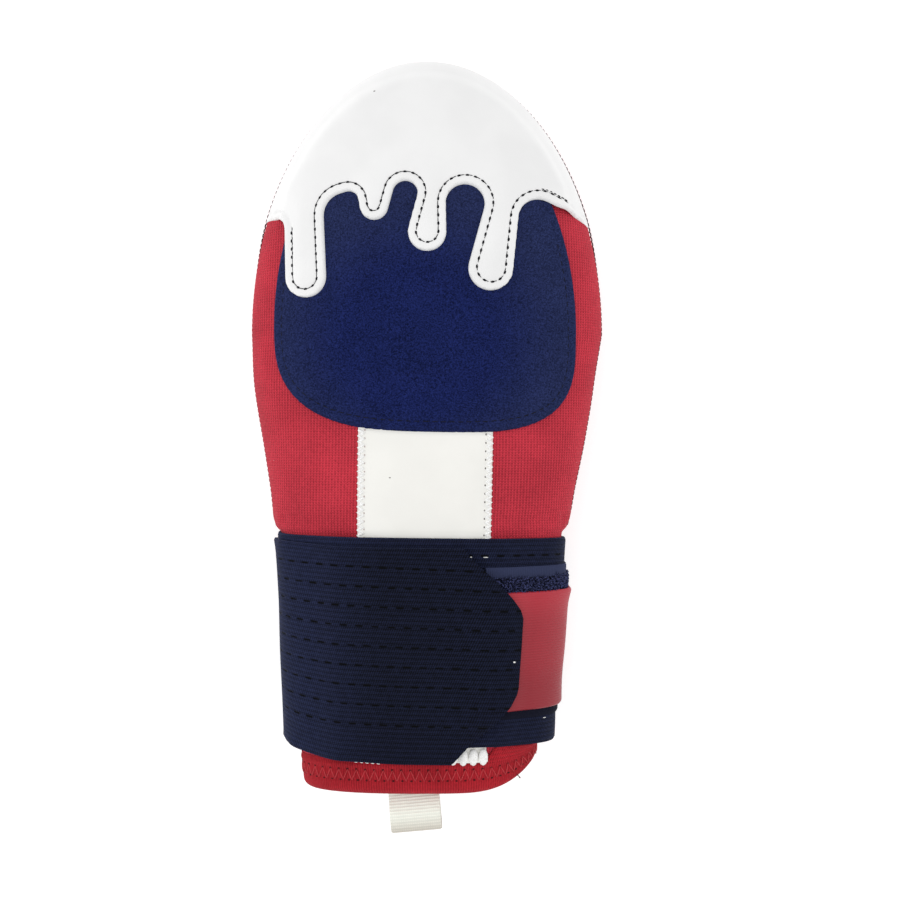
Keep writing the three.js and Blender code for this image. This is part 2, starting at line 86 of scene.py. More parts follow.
# Columns: y, centre, half width, seam height, back height and palm depth
SECTIONS = np.array([
    (-126.3, -2.6, 42.0, 22.6, 16.0, 18.6),
    (-116.0, -2.7, 43.2, 22.8, 16.6, 19.8),
    (-111.0, -2.2, 46.2, 22.9, 17.2, 21.0),
    (-108.0, -2.0, 48.2, 23.0, 17.6, 21.3),
    (-90.0, -2.2, 48.8, 23.0, 18.2, 21.3),
    (-74.0, -1.9, 49.8, 23.0, 18.6, 21.3),
    (-54.0, -1.5, 50.8, 22.9, 19.2, 21.2),
    (-33.0, -1.8, 52.4, 22.8, 19.7, 21.1),
    (-31.6, -1.9, 54.2, 22.6, 20.3, 20.9),
    (-16.0, -1.5, 57.1, 21.8, 22.4, 20.9),
    (2.0, -1.1, 60.5, 20.8, 23.8, 20.9),
    (20.0, -1.1, 63.5, 20.2, 24.7, 20.7),
    (40.7, 0.0, 65.7, 20.0, 25.0, 20.6),
])
# The solids were centred on the origin after they were made; the back panel's tip tells by how much
SHIFT_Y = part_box("back_shell")[1][1] / MM - NOSE_START - NOSE_LENGTH

PAD_LEFT_HALF = 55.3
PAD_RIGHT_HALF = 54.6
PAD_MIDDLE_Y = 40.7
PAD_REACH = 84.8
PAD_DEPTH = 37.2
PAD_TILT = -0.02
PAD_LEFT_POWER = 2.8
PAD_RIGHT_POWER = 3.4
PAD_HEIGHT = 2.2
PAD_STITCH_INSET = 3.9
PAD_ROLL = 2.6
# Middle and reach of the pad's part without the painted sheen of its rim
NAP_CENTRE = (-3.0, 36.0)
NAP_REACH = (50.0, 48.0)

CAP_THICK = 1.2
CAP_OVER_PAD = 0.84
CAP_ON_SHELL = 0.93
CAP_GROOVE = 2.9
# Arcs of the cap's drip edge: centre x, centre y, radius, bend (1 for a drip, -1 for the gap between)
DRIP_EDGE = (
    (-61.0, 82.4, 0.0, 1),
    (-55.2, 77.3, 4.35, -1),
    (-43.0, 59.1, 7.3, 1),
    (-28.8, 81.5, 8.0, -1),
    (-27.8, 86.0, 3.9, -1),
    (-18.4, 84.2, 5.0, 1),
    (-7.3, 88.9, 4.5, -1),
    (0.6, 74.7, 6.8, 1),
    (14.2, 85.2, 7.0, -1),
    (23.2, 61.8, 7.9, 1),
    (41.0, 79.5, 8.0, -1),
    (60.2, 80.4, 0.0, 1),
)

STITCH_START = (-48.5, 76.6)
STITCH_END_X = 50.0
BACK_TACK_LENGTH = 9.0
GUIDE_STEP = 0.2

STRIP_THICK = 1.2
STRIP_LEFT = (-24.2, -25.7)
STRIP_RIGHT = (24.2, 21.9)
STRIP_OVER_HEM = (0.0, 0.5)
STRIP_WIDTH = 48.0
STRIP_GROOVE = 2.7

HEM_THICK = 0.9
HEM_DEPTH = 11.6
HEM_PITCH = 3.3
HEM_STITCH_UP = 6.2
HEM_STITCH_WIDTH = 3.8
# The fold: where it starts to turn above the mouth, and how far its two faces reach past that
HEM_TURN_UP = 1.4
HEM_TURN_OUT = 2.6
HEM_TURN_IN = 1.7
# How much thinner the tape is at its cut edge
HEM_EDGE_THIN = 0.7
# Where the tape's upper edge meets the strap, beside the strip's end
HEM_SIDE_TOP = -109.7

STRAP_THICK = 1.4
STRAP_WIDTH = 76.0
STRAP_LAYER_GAP = 0.15
STRAP_TOP_Y = -32.8
STRAP_DRIFT = 6.0
STRAP_START = math.pi + 0.5
STRAP_STATIONS = (-108.0, -33.0)
STRAP_MIDDLE_Y = -74.0
SLIT_FIRST_ROW = 7.6
SLIT_ROW_COUNT = 9
# Where the strap's free end is cut: distance below its upper edge, and x
STRAP_END = np.array([
    (0.0, 13.4), (3.0, 15.4), (11.5, 24.6), (16.8, 29.6), (21.0, 33.0), (24.0, 34.2), (34.0, 34.2),
    (48.6, 34.0), (51.0, 33.4), (55.0, 31.0), (59.0, 27.2), (67.0, 19.0), (76.0, 9.8),
])
STRAP_END_X = 34.0
STRAP_END_OFFSET = 6.4
STRIP_REACH = 0.52
STRIP_FADE = 0.75

PATCH = {"thick": 0.7, "top": -44.7, "low": -99.5, "start_x": 21.0, "end": -0.62}
SELVAGE = 3.9
TAB = {"thick": 1.3, "top": -53.7, "low": -96.5, "start_x": 28.4, "end": -0.5, "corner": 6.0}

LOOP_WIDTH = 18.5
LOOP_THICK = 1.3
LOOP_X = -4.8
LOOP_YAW = 0.087
LOOP_HELD_Y = -115.0
LOOP_LEAVE_Y = -127.8
LOOP_ROUND_Y = -136.0
LOOP_END_Y = -142.7
LOOP_TOP_Z = 33.0
LOOP_RADIUS = 3.6

# Flat cuts of the sheets: width and length
FLAT_CUTS = {
    "white_cap": (140, 96),
    "white_strip": (STRIP_WIDTH, 122),
    "red_hem": (2 * HEM_DEPTH + 4, 215),
    "elastic_strap": (STRAP_WIDTH, 350),
    "pile_patch": (55, 60),
    "rubber_tab": (43, 55),
    "webbing_loop": (LOOP_WIDTH, 64),
}
CAP_FLAT_SHARE = 0.66

# The photograph was taken from straight above: millimetres per pixel for each millimetre of
# distance, and the point of the mitt under the middle of the 900 pixel frame
PIXEL_SCALE = 8.787e-4
FRAME_PIXELS = 900
VIEW_CENTRE = (8.69, -2.75)
FLOOR_REACH = 4.0
FLOOR_GLOW = 0.56
# Columns: name, place in metres, side of the square, and the stage setting with its power
LIGHTS = (
    ("overhead light", (-0.25, 0.35, 1.5), 1.6, "key_power"),
    ("left light", (-1.3, 0.1, 0.6), 1.1, "left_power"),
    ("right light", (1.3, -0.1, 0.6), 1.1, "right_power"),
)


def linear(red, green, blue):
    """Scene-linear colour of a display colour given from 0 to 255."""
    shares = (value / 255 for value in (red, green, blue))
    return tuple(s / 12.92 if s <= 0.04045 else ((s + 0.055) / 1.055) ** 2.4 for s in shares)


def smooth(value, low, high):
    """0 up to low, 1 from high on and an even rise between."""
    t = np.clip((np.asarray(value, float) - low) / (high - low), 0, 1)
    return t * t * (3 - 2 * t)


def section(y):
    """Centre, half width, seam height, back height and palm depth at each y."""
    rows = SECTIONS[:, 0]
    at = np.clip(y, rows[0], rows[-1])
    row = np.clip(np.searchsorted(rows, at) - 1, 0, len(rows) - 2)
    run = np.diff(rows)
    slopes = np.diff(SECTIONS[:, 1:], axis=0) / run[:, None]
    before, after = slopes[:-1], slopes[1:]
    same = before * after > 0
    inner = np.where(same, 2 * before * after / np.where(same, before + after, 1), 0)
    tangents = np.vstack([slopes[:1], inner, slopes[-1:]])
    step = run[row][..., None]
    t = ((at - rows[row]) / run[row])[..., None]
    start, end = SECTIONS[row, 1:], SECTIONS[row + 1, 1:]
    value = (2 * t**3 - 3 * t**2 + 1) * start + (t**3 - 2 * t**2 + t) * step * tangents[row]
    value += (3 * t**2 - 2 * t**3) * end + (t**3 - t**2) * step * tangents[row + 1]
    return np.moveaxis(value, -1, 0)


def ring(angle):
    """Share of the half width and of the height that an angle of the section reaches."""
    c, s = np.cos(angle), np.sin(angle)
    power = np.where(s >= 0, BACK_POWER, PALM_POWER)
    scale = (np.abs(c) ** power + np.abs(s) ** power) ** (1 / power)
    return c / scale, s / scale


def back_angle(across):
    """Angle on the back at a share of the half width."""
    t = np.clip(across, -1, 1)
    return np.arctan2((1 - np.abs(t) ** BACK_POWER) ** (1 / BACK_POWER), t)


def mouth_rise(x):
    """How much higher the mouth's edge lies toward the right."""
    return MOUTH_RISE * np.maximum(0, (x - MOUTH_RISE_FROM_X) / MOUTH_RISE_SPAN) ** MOUTH_RISE_POWER


def skin(station, angle, offset):
    """Points of the hand's surface; beyond NOSE_START a station is that of the bare nose."""
    station, angle, offset = np.broadcast_arrays(*np.atleast_1d(station, angle, offset))
    nose = np.clip((station - NOSE_START) / NOSE_LENGTH, 0, 1)
    centre, half, seam, back, palm = section(np.minimum(station, NOSE_START))
    plan = np.sqrt(1 - nose**2)
    rise = (1 - nose**NOSE_POWER) ** (1 / NOSE_POWER)
    across, up = ring(angle)
    tall = np.where(up >= 0, back, palm)
    x = centre + (half + offset) * plan * across
    share = np.maximum(0, (MOUTH_RISE_START - station) / (MOUTH_RISE_START - MOUTH_Y))
    risen = station + mouth_rise(centre + half * plan * across) * share
    y = np.where(nose > 0, NOSE_START + (NOSE_LENGTH + offset) * nose, risen)
    z = seam - TIP_DROP * nose**2 + (tall + offset) * rise * up
    return np.stack([x, y, np.maximum(z, 0)], -1)


def back_point(x, y, offset):
    """Points of the back above places of the bare hand's plan."""
    x, y, offset = np.broadcast_arrays(*np.atleast_1d(x, y, offset))
    full = MOUTH_RISE_START - MOUTH_Y
    behind = MOUTH_RISE_START - (MOUTH_RISE_START - y) * full / (full - mouth_rise(x))
    station = np.where(y < MOUTH_RISE_START, behind, y)
    nose = np.clip((y - NOSE_START) / NOSE_LENGTH, 0, 1)
    centre, half, seam, back, _ = section(np.minimum(station, NOSE_START))
    plan = np.maximum(np.sqrt(1 - nose**2), 1e-6)
    across = np.clip((x - centre) / (half * plan), -1, 1)
    up = (1 - np.abs(across) ** BACK_POWER) ** (1 / BACK_POWER)
    rise = (1 - nose**NOSE_POWER) ** (1 / NOSE_POWER)
    px = centre + (half + offset) * plan * across
    py = np.where(nose > 0, NOSE_START + (NOSE_LENGTH + offset) * nose, y)
    return np.stack([px, py, seam - TIP_DROP * nose**2 + (back + offset) * rise * up], -1)


def bare(x, y, offset):
    """Places of the bare hand's plan under places of the plan of a layer."""
    over = np.maximum(0, y - NOSE_START) * NOSE_LENGTH / (NOSE_LENGTH + offset)
    centre, half = section(np.minimum(y, NOSE_START))[:2]
    return np.stack([centre + (x - centre) * half / (half + offset), np.minimum(y, NOSE_START) + over], -1)


def unit(vectors):
    """The same directions with length 1."""
    return vectors / np.maximum(np.linalg.norm(vectors, axis=-1, keepdims=True), 1e-9)


def back_normal(x, y, offset):
    """Outward directions of the back at places of the plan."""
    step = 0.05
    across = back_point(x + step, y, offset) - back_point(x - step, y, offset)
    along = back_point(x, y + step, offset) - back_point(x, y - step, offset)
    return unit(np.cross(across, along))


def reach_out(x, y):
    """Distance from the middle of the nose's plan, 1 at its edge."""
    centre, half = section(np.minimum(y, NOSE_START))[:2]
    return np.hypot((x - centre) / half, np.maximum(0, y - NOSE_START) / NOSE_LENGTH)


def flat_of(x, y):
    """Unrolls plan places so that the steep edge of the nose gets room."""
    centre = section(np.minimum(y, NOSE_START))[0]
    out = np.clip(reach_out(x, y), 1e-6, 1)
    stretch = np.arcsin(out) * 2 / math.pi / out
    lift = np.maximum(0, y - NOSE_START)
    return np.stack([centre + (x - centre) * stretch, np.minimum(y, NOSE_START) + lift * stretch], -1)


def plan_of(flat):
    """Rolls unrolled places back to the plan."""
    x, y = flat[..., 0], flat[..., 1]
    centre = section(np.minimum(y, NOSE_START))[0]
    out = np.clip(reach_out(x, y), 1e-6, 1)
    shrink = np.sin(out * math.pi / 2) / out
    lift = np.maximum(0, y - NOSE_START)
    return centre + (x - centre) * shrink, np.minimum(y, NOSE_START) + lift * shrink


def ripple(x, y, seed, size):
    """Gentle unevenness between -1 and 1 with waves of about the given size."""
    rng = np.random.default_rng(seed)
    total = np.zeros(np.broadcast(x, y).shape)
    for _ in range(6):
        turn, phase = rng.uniform(0, 2 * math.pi, 2)
        pace = 2 * math.pi / (size * rng.uniform(0.7, 1.6))
        total += np.sin((x * math.cos(turn) + y * math.sin(turn)) * pace + phase)
    return total / 6


def distance_to(line):
    """A function that gives the distance of points to a dense line of points."""
    tree = KDTree(len(line))
    for i, point in enumerate(line):
        tree.insert(point, i)
    tree.balance()
    return lambda points: np.array([tree.find(point)[2] for point in points])


def resampled(line, step, closed=False):
    """The same line with evenly spaced points."""
    line = np.asarray(line, float)
    if closed:
        line = np.vstack([line, line[:1]])
    lengths = np.linalg.norm(np.diff(line, axis=0), axis=1)
    keep = np.concatenate([[True], lengths > 1e-6])
    line = line[keep]
    along = np.concatenate([[0], np.cumsum(lengths[lengths > 1e-6])])
    count = max(2, round(along[-1] / step))
    places = np.linspace(0, along[-1], count + 1)
    even = np.stack([np.interp(places, along, line[:, k]) for k in range(line.shape[1])], -1)
    return even[:-1] if closed else even


def mesh_object(name, points, faces, weave=None, free=None):
    """A smooth-shaded object from points in millimetres, with a Weave map in millimetres and, for
    cloth, each point's freedom to swell."""
    placed = (np.asarray(points, float) + (0, SHIFT_Y, 0)) * MM
    mesh = bpy.data.meshes.new(name)
    mesh.from_pydata(placed.tolist(), [], [list(map(int, face)) for face in faces])
    if weave is not None:
        layer = mesh.uv_layers.new(name="Weave")
        corners = np.empty(len(mesh.loops), int)
        mesh.loops.foreach_get("vertex_index", corners)
        layer.uv.foreach_set("vector", np.asarray(weave, float)[corners].ravel())
    if free is not None:
        mesh.attributes.new("free", "FLOAT", "POINT").data.foreach_set("value", free)
    shape = bmesh.new()
    shape.from_mesh(mesh)
    bmesh.ops.remove_doubles(shape, verts=shape.verts, dist=1e-7)
    bmesh.ops.dissolve_degenerate(shape, edges=shape.edges, dist=1e-8)
    if shape.calc_volume(signed=True) < 0:
        bmesh.ops.reverse_faces(shape, faces=shape.faces)
    shape.to_mesh(mesh)
    shape.free()
    mesh.polygons.foreach_set("use_smooth", [True] * len(mesh.polygons))
    mesh.set_sharp_from_angle(angle=SHARP_ANGLE)
    made = bpy.data.objects.new(name, mesh)
    bpy.context.scene.collection.objects.link(made)
    return made


def subdivided(piece):
    """Rounds a piece by one subdivision."""
    piece.modifiers.new("rounding", "SUBSURF").levels = 1
    depsgraph = bpy.context.evaluated_depsgraph_get()
    coarse = piece.data
    name = coarse.name
    piece.data = bpy.data.meshes.new_from_object(piece.evaluated_get(depsgraph), depsgraph=depsgraph)
    piece.modifiers.clear()
    bpy.data.meshes.remove(coarse)
    piece.data.name = name
    piece.data.set_sharp_from_angle(angle=SHARP_ANGLE)


def swell(piece, reach):
    """Cloth simulation: the free part of a sewn piece puffs up by no more than reach, in millimetres."""
    mesh = piece.data
    scene = bpy.context.scene
    count = len(mesh.vertices)
    free = np.empty(count)
    mesh.attributes["free"].data.foreach_get("value", free)
    before = np.empty(count * 3)
    mesh.vertices.foreach_get("co", before)
    held = piece.vertex_groups.new(name="held")
    for index, share in enumerate(free):
        held.add([index], 1 - share, "REPLACE")
    modifier = piece.modifiers.new("stuffing", "CLOTH")
    cloth = modifier.settings
    cloth.quality = 4
    cloth.mass = CLOTH_MASS
    cloth.vertex_group_mass = held.name
    cloth.use_pressure = True
    cloth.uniform_pressure_force = CLOTH_PRESSURE
    cloth.effector_weights.gravity = 0
    modifier.point_cache.frame_end = CLOTH_FRAMES
    for moment in range(1, CLOTH_FRAMES + 1):
        scene.frame_set(moment)
    depsgraph = bpy.context.evaluated_depsgraph_get()
    after = np.empty(count * 3)
    piece.evaluated_get(depsgraph).data.vertices.foreach_get("co", after)
    piece.modifiers.remove(modifier)
    piece.vertex_groups.remove(held)
    scene.frame_set(1)
    shift = (after - before).reshape(-1, 3)
    length = np.linalg.norm(shift, axis=1, keepdims=True)
    limit = reach * MM
    shift *= limit * np.tanh(length / limit) / np.maximum(length, 1e-12)
    placed = before.reshape(-1, 3) + shift
    placed[:, 2] = np.maximum(placed[:, 2], 0)
    mesh.vertices.foreach_set("co", placed.ravel())
    mesh.update()
    mesh.set_sharp_from_angle(angle=SHARP_ANGLE)


def covers(outline, x, y):
    """Whether a closed line of the plan goes round each place."""
    inside = np.zeros(np.shape(x), bool)
    for (ax, ay), (bx, by) in zip(outline, np.roll(outline, -1, 0)):
        crossed = (ay > y) != (by > y)
        with np.errstate(divide="ignore", invalid="ignore"):
            inside ^= crossed & (x < ax + (y - ay) * (bx - ax) / (by - ay))
    return inside


def grid_faces(rows, columns, first=0, flip=False, ringed=False):
    """Quads of a grid; a ringed one closes from its last column to its first."""
    r, near = np.meshgrid(np.arange(rows - 1), np.arange(columns if ringed else columns - 1), indexing="ij")
    far = (near + 1) % columns
    low, high = r * columns, (r + 1) * columns
    quads = np.stack([low + near, low + far, high + far, high + near], -1).reshape(-1, 4) + first
    return quads[:, ::-1] if flip else quads


def slab(name, outer, inner, weave, free=None):
    """Closed sheet between two grids of points. The outer one may be free to swell."""
    rows, columns = outer.shape[:2]
    count = rows * columns
    faces = [grid_faces(rows, columns), grid_faces(rows, columns, count, flip=True)]
    index = np.arange(count).reshape(rows, columns)
    rim = np.concatenate([index[0, :-1], index[:-1, -1], index[-1, :0:-1], index[:0:-1, 0]])
    after = np.roll(rim, -1)
    faces.append(np.stack([after, rim, rim + count, after + count], -1))
    points = np.concatenate([outer.reshape(-1, 3), inner.reshape(-1, 3)])
    both = np.concatenate([weave.reshape(-1, 2)] * 2)
    shares = None if free is None else np.concatenate([free.ravel(), np.zeros(count)])
    return mesh_object(name, points, np.concatenate(faces), both, shares)


def leaf(name, border, guides, spacing, top, bottom, free=None):
    """Closed sheet with any outline: triangles between a border and guide lines in the unrolled
    plan, raised to the surfaces that top and bottom give for places of the plan."""
    lines = np.concatenate([border, *guides])
    low, high = border.min(0), border.max(0)
    xs = np.arange(low[0], high[0], spacing)
    ys = np.arange(low[1], high[1], spacing * 0.866)
    gx, gy = np.meshgrid(xs, ys)
    gx = gx + (np.arange(len(ys))[:, None] % 2) * spacing / 2
    inside = np.stack([gx.ravel(), gy.ravel()], -1)
    away = distance_to([(x, y, 0) for x, y in lines])
    inside = inside[away([(x, y, 0) for x, y in inside]) > spacing * 0.55]
    extra = np.concatenate([*guides, inside])
    places = [Vector(p) for p in np.concatenate([border, extra])]
    ring_edges = [(i, (i + 1) % len(border)) for i in range(len(border))]
    found, _, triangles, *_ = delaunay_2d_cdt(places, ring_edges, [], 1, 1e-5)
    flat = np.array([tuple(v) for v in found])
    triangles = np.array([t for t in triangles if len(t) == 3])
    used = np.unique(triangles)
    flat, triangles = flat[used], np.searchsorted(used, triangles)
    x, y = plan_of(flat)
    pairs = np.concatenate([triangles[:, [0, 1]], triangles[:, [1, 2]], triangles[:, [2, 0]]])
    seen = {tuple(pair) for pair in pairs.tolist()}
    rim = np.array([pair for pair in pairs.tolist() if (pair[1], pair[0]) not in seen])
    count = len(flat)
    walls = np.stack([rim[:, 1], rim[:, 0], rim[:, 0] + count, rim[:, 1] + count], -1)
    faces = [*triangles.tolist(), *(triangles[:, ::-1] + count).tolist(), *walls.tolist()]
    weave = np.concatenate([np.stack([x, y], -1)] * 2)
    shares = None if free is None else np.concatenate([free(x, y), np.zeros(count)])
    return mesh_object(name, np.concatenate([top(x, y), bottom(x, y)]), faces, weave, shares)


def guide_line(name, points, ups, closed=False):
    """A line of edges that carries the outward direction, for a node tree to follow."""
    mesh = bpy.data.meshes.new(name)
    count = len(points)
    edges = [(i, (i + 1) % count) for i in range(count if closed else count - 1)]
    mesh.from_pydata(((points + (0, SHIFT_Y, 0)) * MM).tolist(), edges, [])
    outward = mesh.attributes.new("up", "FLOAT_VECTOR", "POINT")
    outward.data.foreach_set("vector", np.asarray(ups, float).ravel())
    made = bpy.data.objects.new(name, mesh)
    bpy.context.scene.collection.objects.link(made)
    return made


def arithmetic(operation, swapped=False):
    """A method that adds a Math node; swapped takes the other value first."""

    def method(self, other):
        first, second = (other, self) if swapped else (self, other)
        return self.board.node("ShaderNodeMath", {"operation": operation}, {0: first, 1: second})

    return method


class Wire:
    """A node's output that takes part in arithmetic: an expression adds its Math nodes."""

    def __init__(self, board, socket):
        self.board = board
        self.socket = socket

    def math(self, operation, *values):
        """One Math node with this output as its first value."""
        sockets = dict(enumerate((self, *values)))
        return self.board.node("ShaderNodeMath", {"operation": operation}, sockets)

    __add__ = arithmetic("ADD")
    __sub__ = arithmetic("SUBTRACT")
    __rsub__ = arithmetic("SUBTRACT", swapped=True)
    __mul__ = arithmetic("MULTIPLY")
    __rmul__ = arithmetic("MULTIPLY", swapped=True)
    __truediv__ = arithmetic("DIVIDE")

    def __abs__(self):
        return self.math("ABSOLUTE")

    def wave(self, pitch):
        """1 on each line of a set that lie a pitch apart, -1 between them."""
        return (self * (2 * math.pi / pitch)).math("COSINE")

    def frac(self):
        return self.math("FRACT")

    def floor(self):
        return self.math("FLOOR")

    def step(self, low, high):
        """0 below low, 1 above high and smooth between; the other way round if high is lower."""
        return self.board.node(
            "ShaderNodeMapRange",
            {"interpolation_type": "SMOOTHSTEP"},
            {"Value": self, "From Min": low, "From Max": high},
        )


class Board:
    """Adds nodes to a tree: a type, its settings, and the values or links of its sockets."""

    def __init__(self, tree):
        self.tree = tree

    def node(self, kind, settings=None, sockets=None, output=0):
        made = self.tree.nodes.new(kind)
        for key, value in (settings or {}).items():
            setattr(made, key, value)
        for key, value in (sockets or {}).items():
            for item in value if isinstance(value, list) else [value]:
                if isinstance(item, Wire):
                    self.tree.links.new(item.socket, made.inputs[key])
                else:
                    made.inputs[key].default_value = item
        return Wire(self, made.outputs[output])

    def mix(self, factor, low, high):
        """One colour turning into another."""
        sockets = {0: factor, 6: low if isinstance(low, Wire) else (*low, 1)}
        sockets[7] = high if isinstance(high, Wire) else (*high, 1)
        return self.node("ShaderNodeMix", {"data_type": "RGBA"}, sockets, 2)

    def noise(self, scale, detail):
        """Noise from 0 to 1 with grains of about 1 / scale metres."""
        sockets = {"Vector": self.place(), "Scale": scale, "Detail": detail}
        return self.node("ShaderNodeTexNoise", None, sockets)

    def place(self):
        return self.node("ShaderNodeTexCoord", None, None, "Object")

    def weave(self):
        """The two directions of the Weave map, in millimetres."""
        spot = self.node("ShaderNodeUVMap", {"uv_map": "Weave"})
        return [self.node("ShaderNodeSeparateXYZ", None, {0: spot}, axis) for axis in (0, 1)]

    def vector(self, operation, sockets):
        return self.node("ShaderNodeVectorMath", {"operation": operation}, sockets)

    def round_rod(self, radius, sides):
        """The round profile of a thread."""
        sockets = {"Resolution": sides, "Radius": radius}
        return self.node("GeometryNodeCurvePrimitiveCircle", None, sockets)

    def bump(self, height, depth, strength):
        return self.node("ShaderNodeBump", None, {"Height": height, "Distance": depth, "Strength": strength})


def finish(name, paint):
    """A material whose shader sockets are what paint returns for its board."""
    made = bpy.data.materials.new(name)
    made.use_nodes = True
    tree = made.node_tree
    shader = tree.nodes["Principled BSDF"]
    board = Board(tree)
    for key, value in paint(board).items():
        if isinstance(value, Wire):
            tree.links.new(value.socket, shader.inputs[key])
        else:
            shader.inputs[key].default_value = (*value, 1) if isinstance(value, tuple) else value
    return made


def shade(colour, factor):
    """A darker or lighter colour."""
    return tuple(min(1, channel * factor) for channel in colour)


def knit_paint(colour, wale, course):
    """Ribbed jersey: columns of small stitches shaped like a V."""

    def paint(board):
        u, v = board.weave()
        column = (u / wale).frac() - 0.5
        loops = (v / course + abs(column) * 1.1) * (2 * math.pi)
        height = loops.math("SINE") * 0.3 + u.wave(wale) * -0.34 + board.noise(1100, 4) * 1.1
        patches = board.noise(60, 3)
        grain = height * 0.45 + patches * 0.55
        return {
            "Base Color": board.mix(grain.step(0.1, 0.95), shade(colour, 0.62), shade(colour, 1.36)),
            "Roughness": 0.88,
            "Specular IOR Level": 0.1,
            "Sheen Weight": 0.04,
            "Sheen Roughness": 0.4,
            "Normal": board.bump(height, 0.0003, 0.8),
        }

    return paint


def nap_paint(colour, rim_sheen_colour):
    """Brushed cloth: short fibres lie in all directions in soft patches, and a painted sheen lightens the
    rim.
    """

    def paint(board):
        fine = board.noise(2900, 4)
        tufts = board.noise(1500, 3)
        patches = board.noise(90, 3)
        height = fine * 0.5 + tufts * 0.5
        x, y = board.weave()
        across = (x - NAP_CENTRE[0]) / NAP_REACH[0]
        along = (y - NAP_CENTRE[1]) / NAP_REACH[1]
        # Painted sheen: the colour turns lighter toward the pad's rim
        rim = (across * across + along * along).math("SQRT").step(0.45, 1.1)
        light = fine * 0.52 + tufts * 0.4 + patches * 0.08
        deep = board.mix(light.step(0.34, 0.68), shade(colour, 0.3), shade(colour, 1.75))
        rim_sheen = board.mix(light.step(0.34, 0.68), shade(rim_sheen_colour, 0.4), shade(rim_sheen_colour, 1.6))
        return {
            "Base Color": board.mix(rim, deep, rim_sheen),
            "Roughness": 0.95,
            "Specular IOR Level": 0.05,
            "Sheen Weight": 0.06,
            "Sheen Roughness": 0.35,
            "Sheen Tint": linear(96, 112, 190),
            "Normal": board.bump(height, 0.0004, 0.9),
        }

    return paint


def hide_paint(colour, depth=0.00008):
    """Smooth synthetic leather with a faint grain."""

    def paint(board):
        grain = board.noise(1500, 3)
        soft = board.noise(60, 2)
        return {
            "Base Color": board.mix(soft.step(0.3, 0.7), shade(colour, 0.965), colour),
            "Roughness": 0.42,
            "Normal": board.bump(grain * 0.6 + soft * 2.0, depth, 0.5),
        }

    return paint


def elastic_paint(colour, rib, slit_pitch, slit_rows):
    """Woven elastic: ribs along the band and staggered rows of short slits."""

    def paint(board):
        u, v = board.weave()
        row = (v - SLIT_FIRST_ROW) / slit_rows
        nearest = (row + 0.5).floor()
        off_row = abs(row - nearest) * slit_rows
        shift = nearest.math("MODULO", 2.0) * 0.5
        off_slit = abs((u / slit_pitch + shift).frac() - 0.5) * slit_pitch
        wear_and_fold_shade = board.noise(420, 4)
        ragged = (wear_and_fold_shade - 0.5) * 0.5
        slit = (off_slit + ragged * 1.4).step(1.75, 0.9) * (off_row + ragged * 0.6).step(0.5, 0.16)
        slit = slit * nearest.step(-0.6, -0.4) * nearest.step(SLIT_ROW_COUNT - 0.4, SLIT_ROW_COUNT - 0.6)
        ribs = v.wave(rib) * 0.5 + 0.5
        picks = (u + v * 0.35).wave(0.78) * 0.5 + 0.5
        crossed = picks * (v.wave(0.62) * 0.5 + 0.5)
        fuzz = board.noise(2200, 3)
        height = ribs * 0.4 + picks * 0.15 + crossed * 0.3 + wear_and_fold_shade * 0.3 + fuzz * 0.3 - slit * 0.8
        light = ribs * 0.12 + picks * 0.1 + crossed * 0.24 + wear_and_fold_shade * 0.18 + fuzz * 0.36
        grain = light.step(0.26, 0.7)
        deep = board.mix(grain, shade(colour, 0.2), shade(colour, 2.1))
        sheen_lit = board.mix(grain, shade(colour, 0.9), shade(colour, 4.2))
        # Painted sheen: the left side of the strap is mixed toward a lighter colour, as the light makes it
        # look there; the first turn is mixed a little toward it too
        x = board.node("ShaderNodeSeparateXYZ", None, {0: board.place()}, 0)
        first_turn = u.step(200, 180) * 0.4
        cloth = board.mix(x.step(-0.012, -0.05) + first_turn, deep, sheen_lit)
        return {
            # Painted shade: the slits are painted nearly black, as their openings look in shade
            "Base Color": board.mix(slit, cloth, shade(colour, 0.05)),
            "Roughness": 0.85,
            "Specular IOR Level": 0.1,
            "Sheen Weight": 0.2,
            "Sheen Roughness": 0.3,
            "Sheen Tint": linear(150, 158, 190),
            "Normal": board.bump(height, 0.00035, 0.9),
        }

    return paint


def rubber_paint(colour, edge):
    """Moulded rubber with fine ribs; painted highlight at its free edge and top, painted shade low down."""

    def paint(board):
        u, v = board.weave()
        ribs = v.wave(0.95) * 0.5 + 0.5
        cloudy = board.noise(110, 3)
        dull = board.mix(cloudy * 0.55 + ribs * 0.45, shade(colour, 0.86), shade(colour, 1.14))
        # Painted highlight along the tab's free edge
        rim = u.step(1.1, 0.4)
        # Painted highlight near the top and painted shade toward the low end
        lit = v.step(TAB["top"] - 14, TAB["top"] - 1)
        dull = board.mix(lit, dull, shade(colour, 1.28))
        dull = board.mix(v.step(TAB["top"] - 22, TAB["low"] + 6), dull, shade(colour, 0.84))
        return {
            "Base Color": board.mix(rim, dull, edge),
            "Roughness": cloudy * 0.15 + 0.42,
            "Specular IOR Level": 0.35,
            "Normal": board.bump(ribs * 0.7 + cloudy * 0.3, 0.00016, 0.8),
        }

    return paint


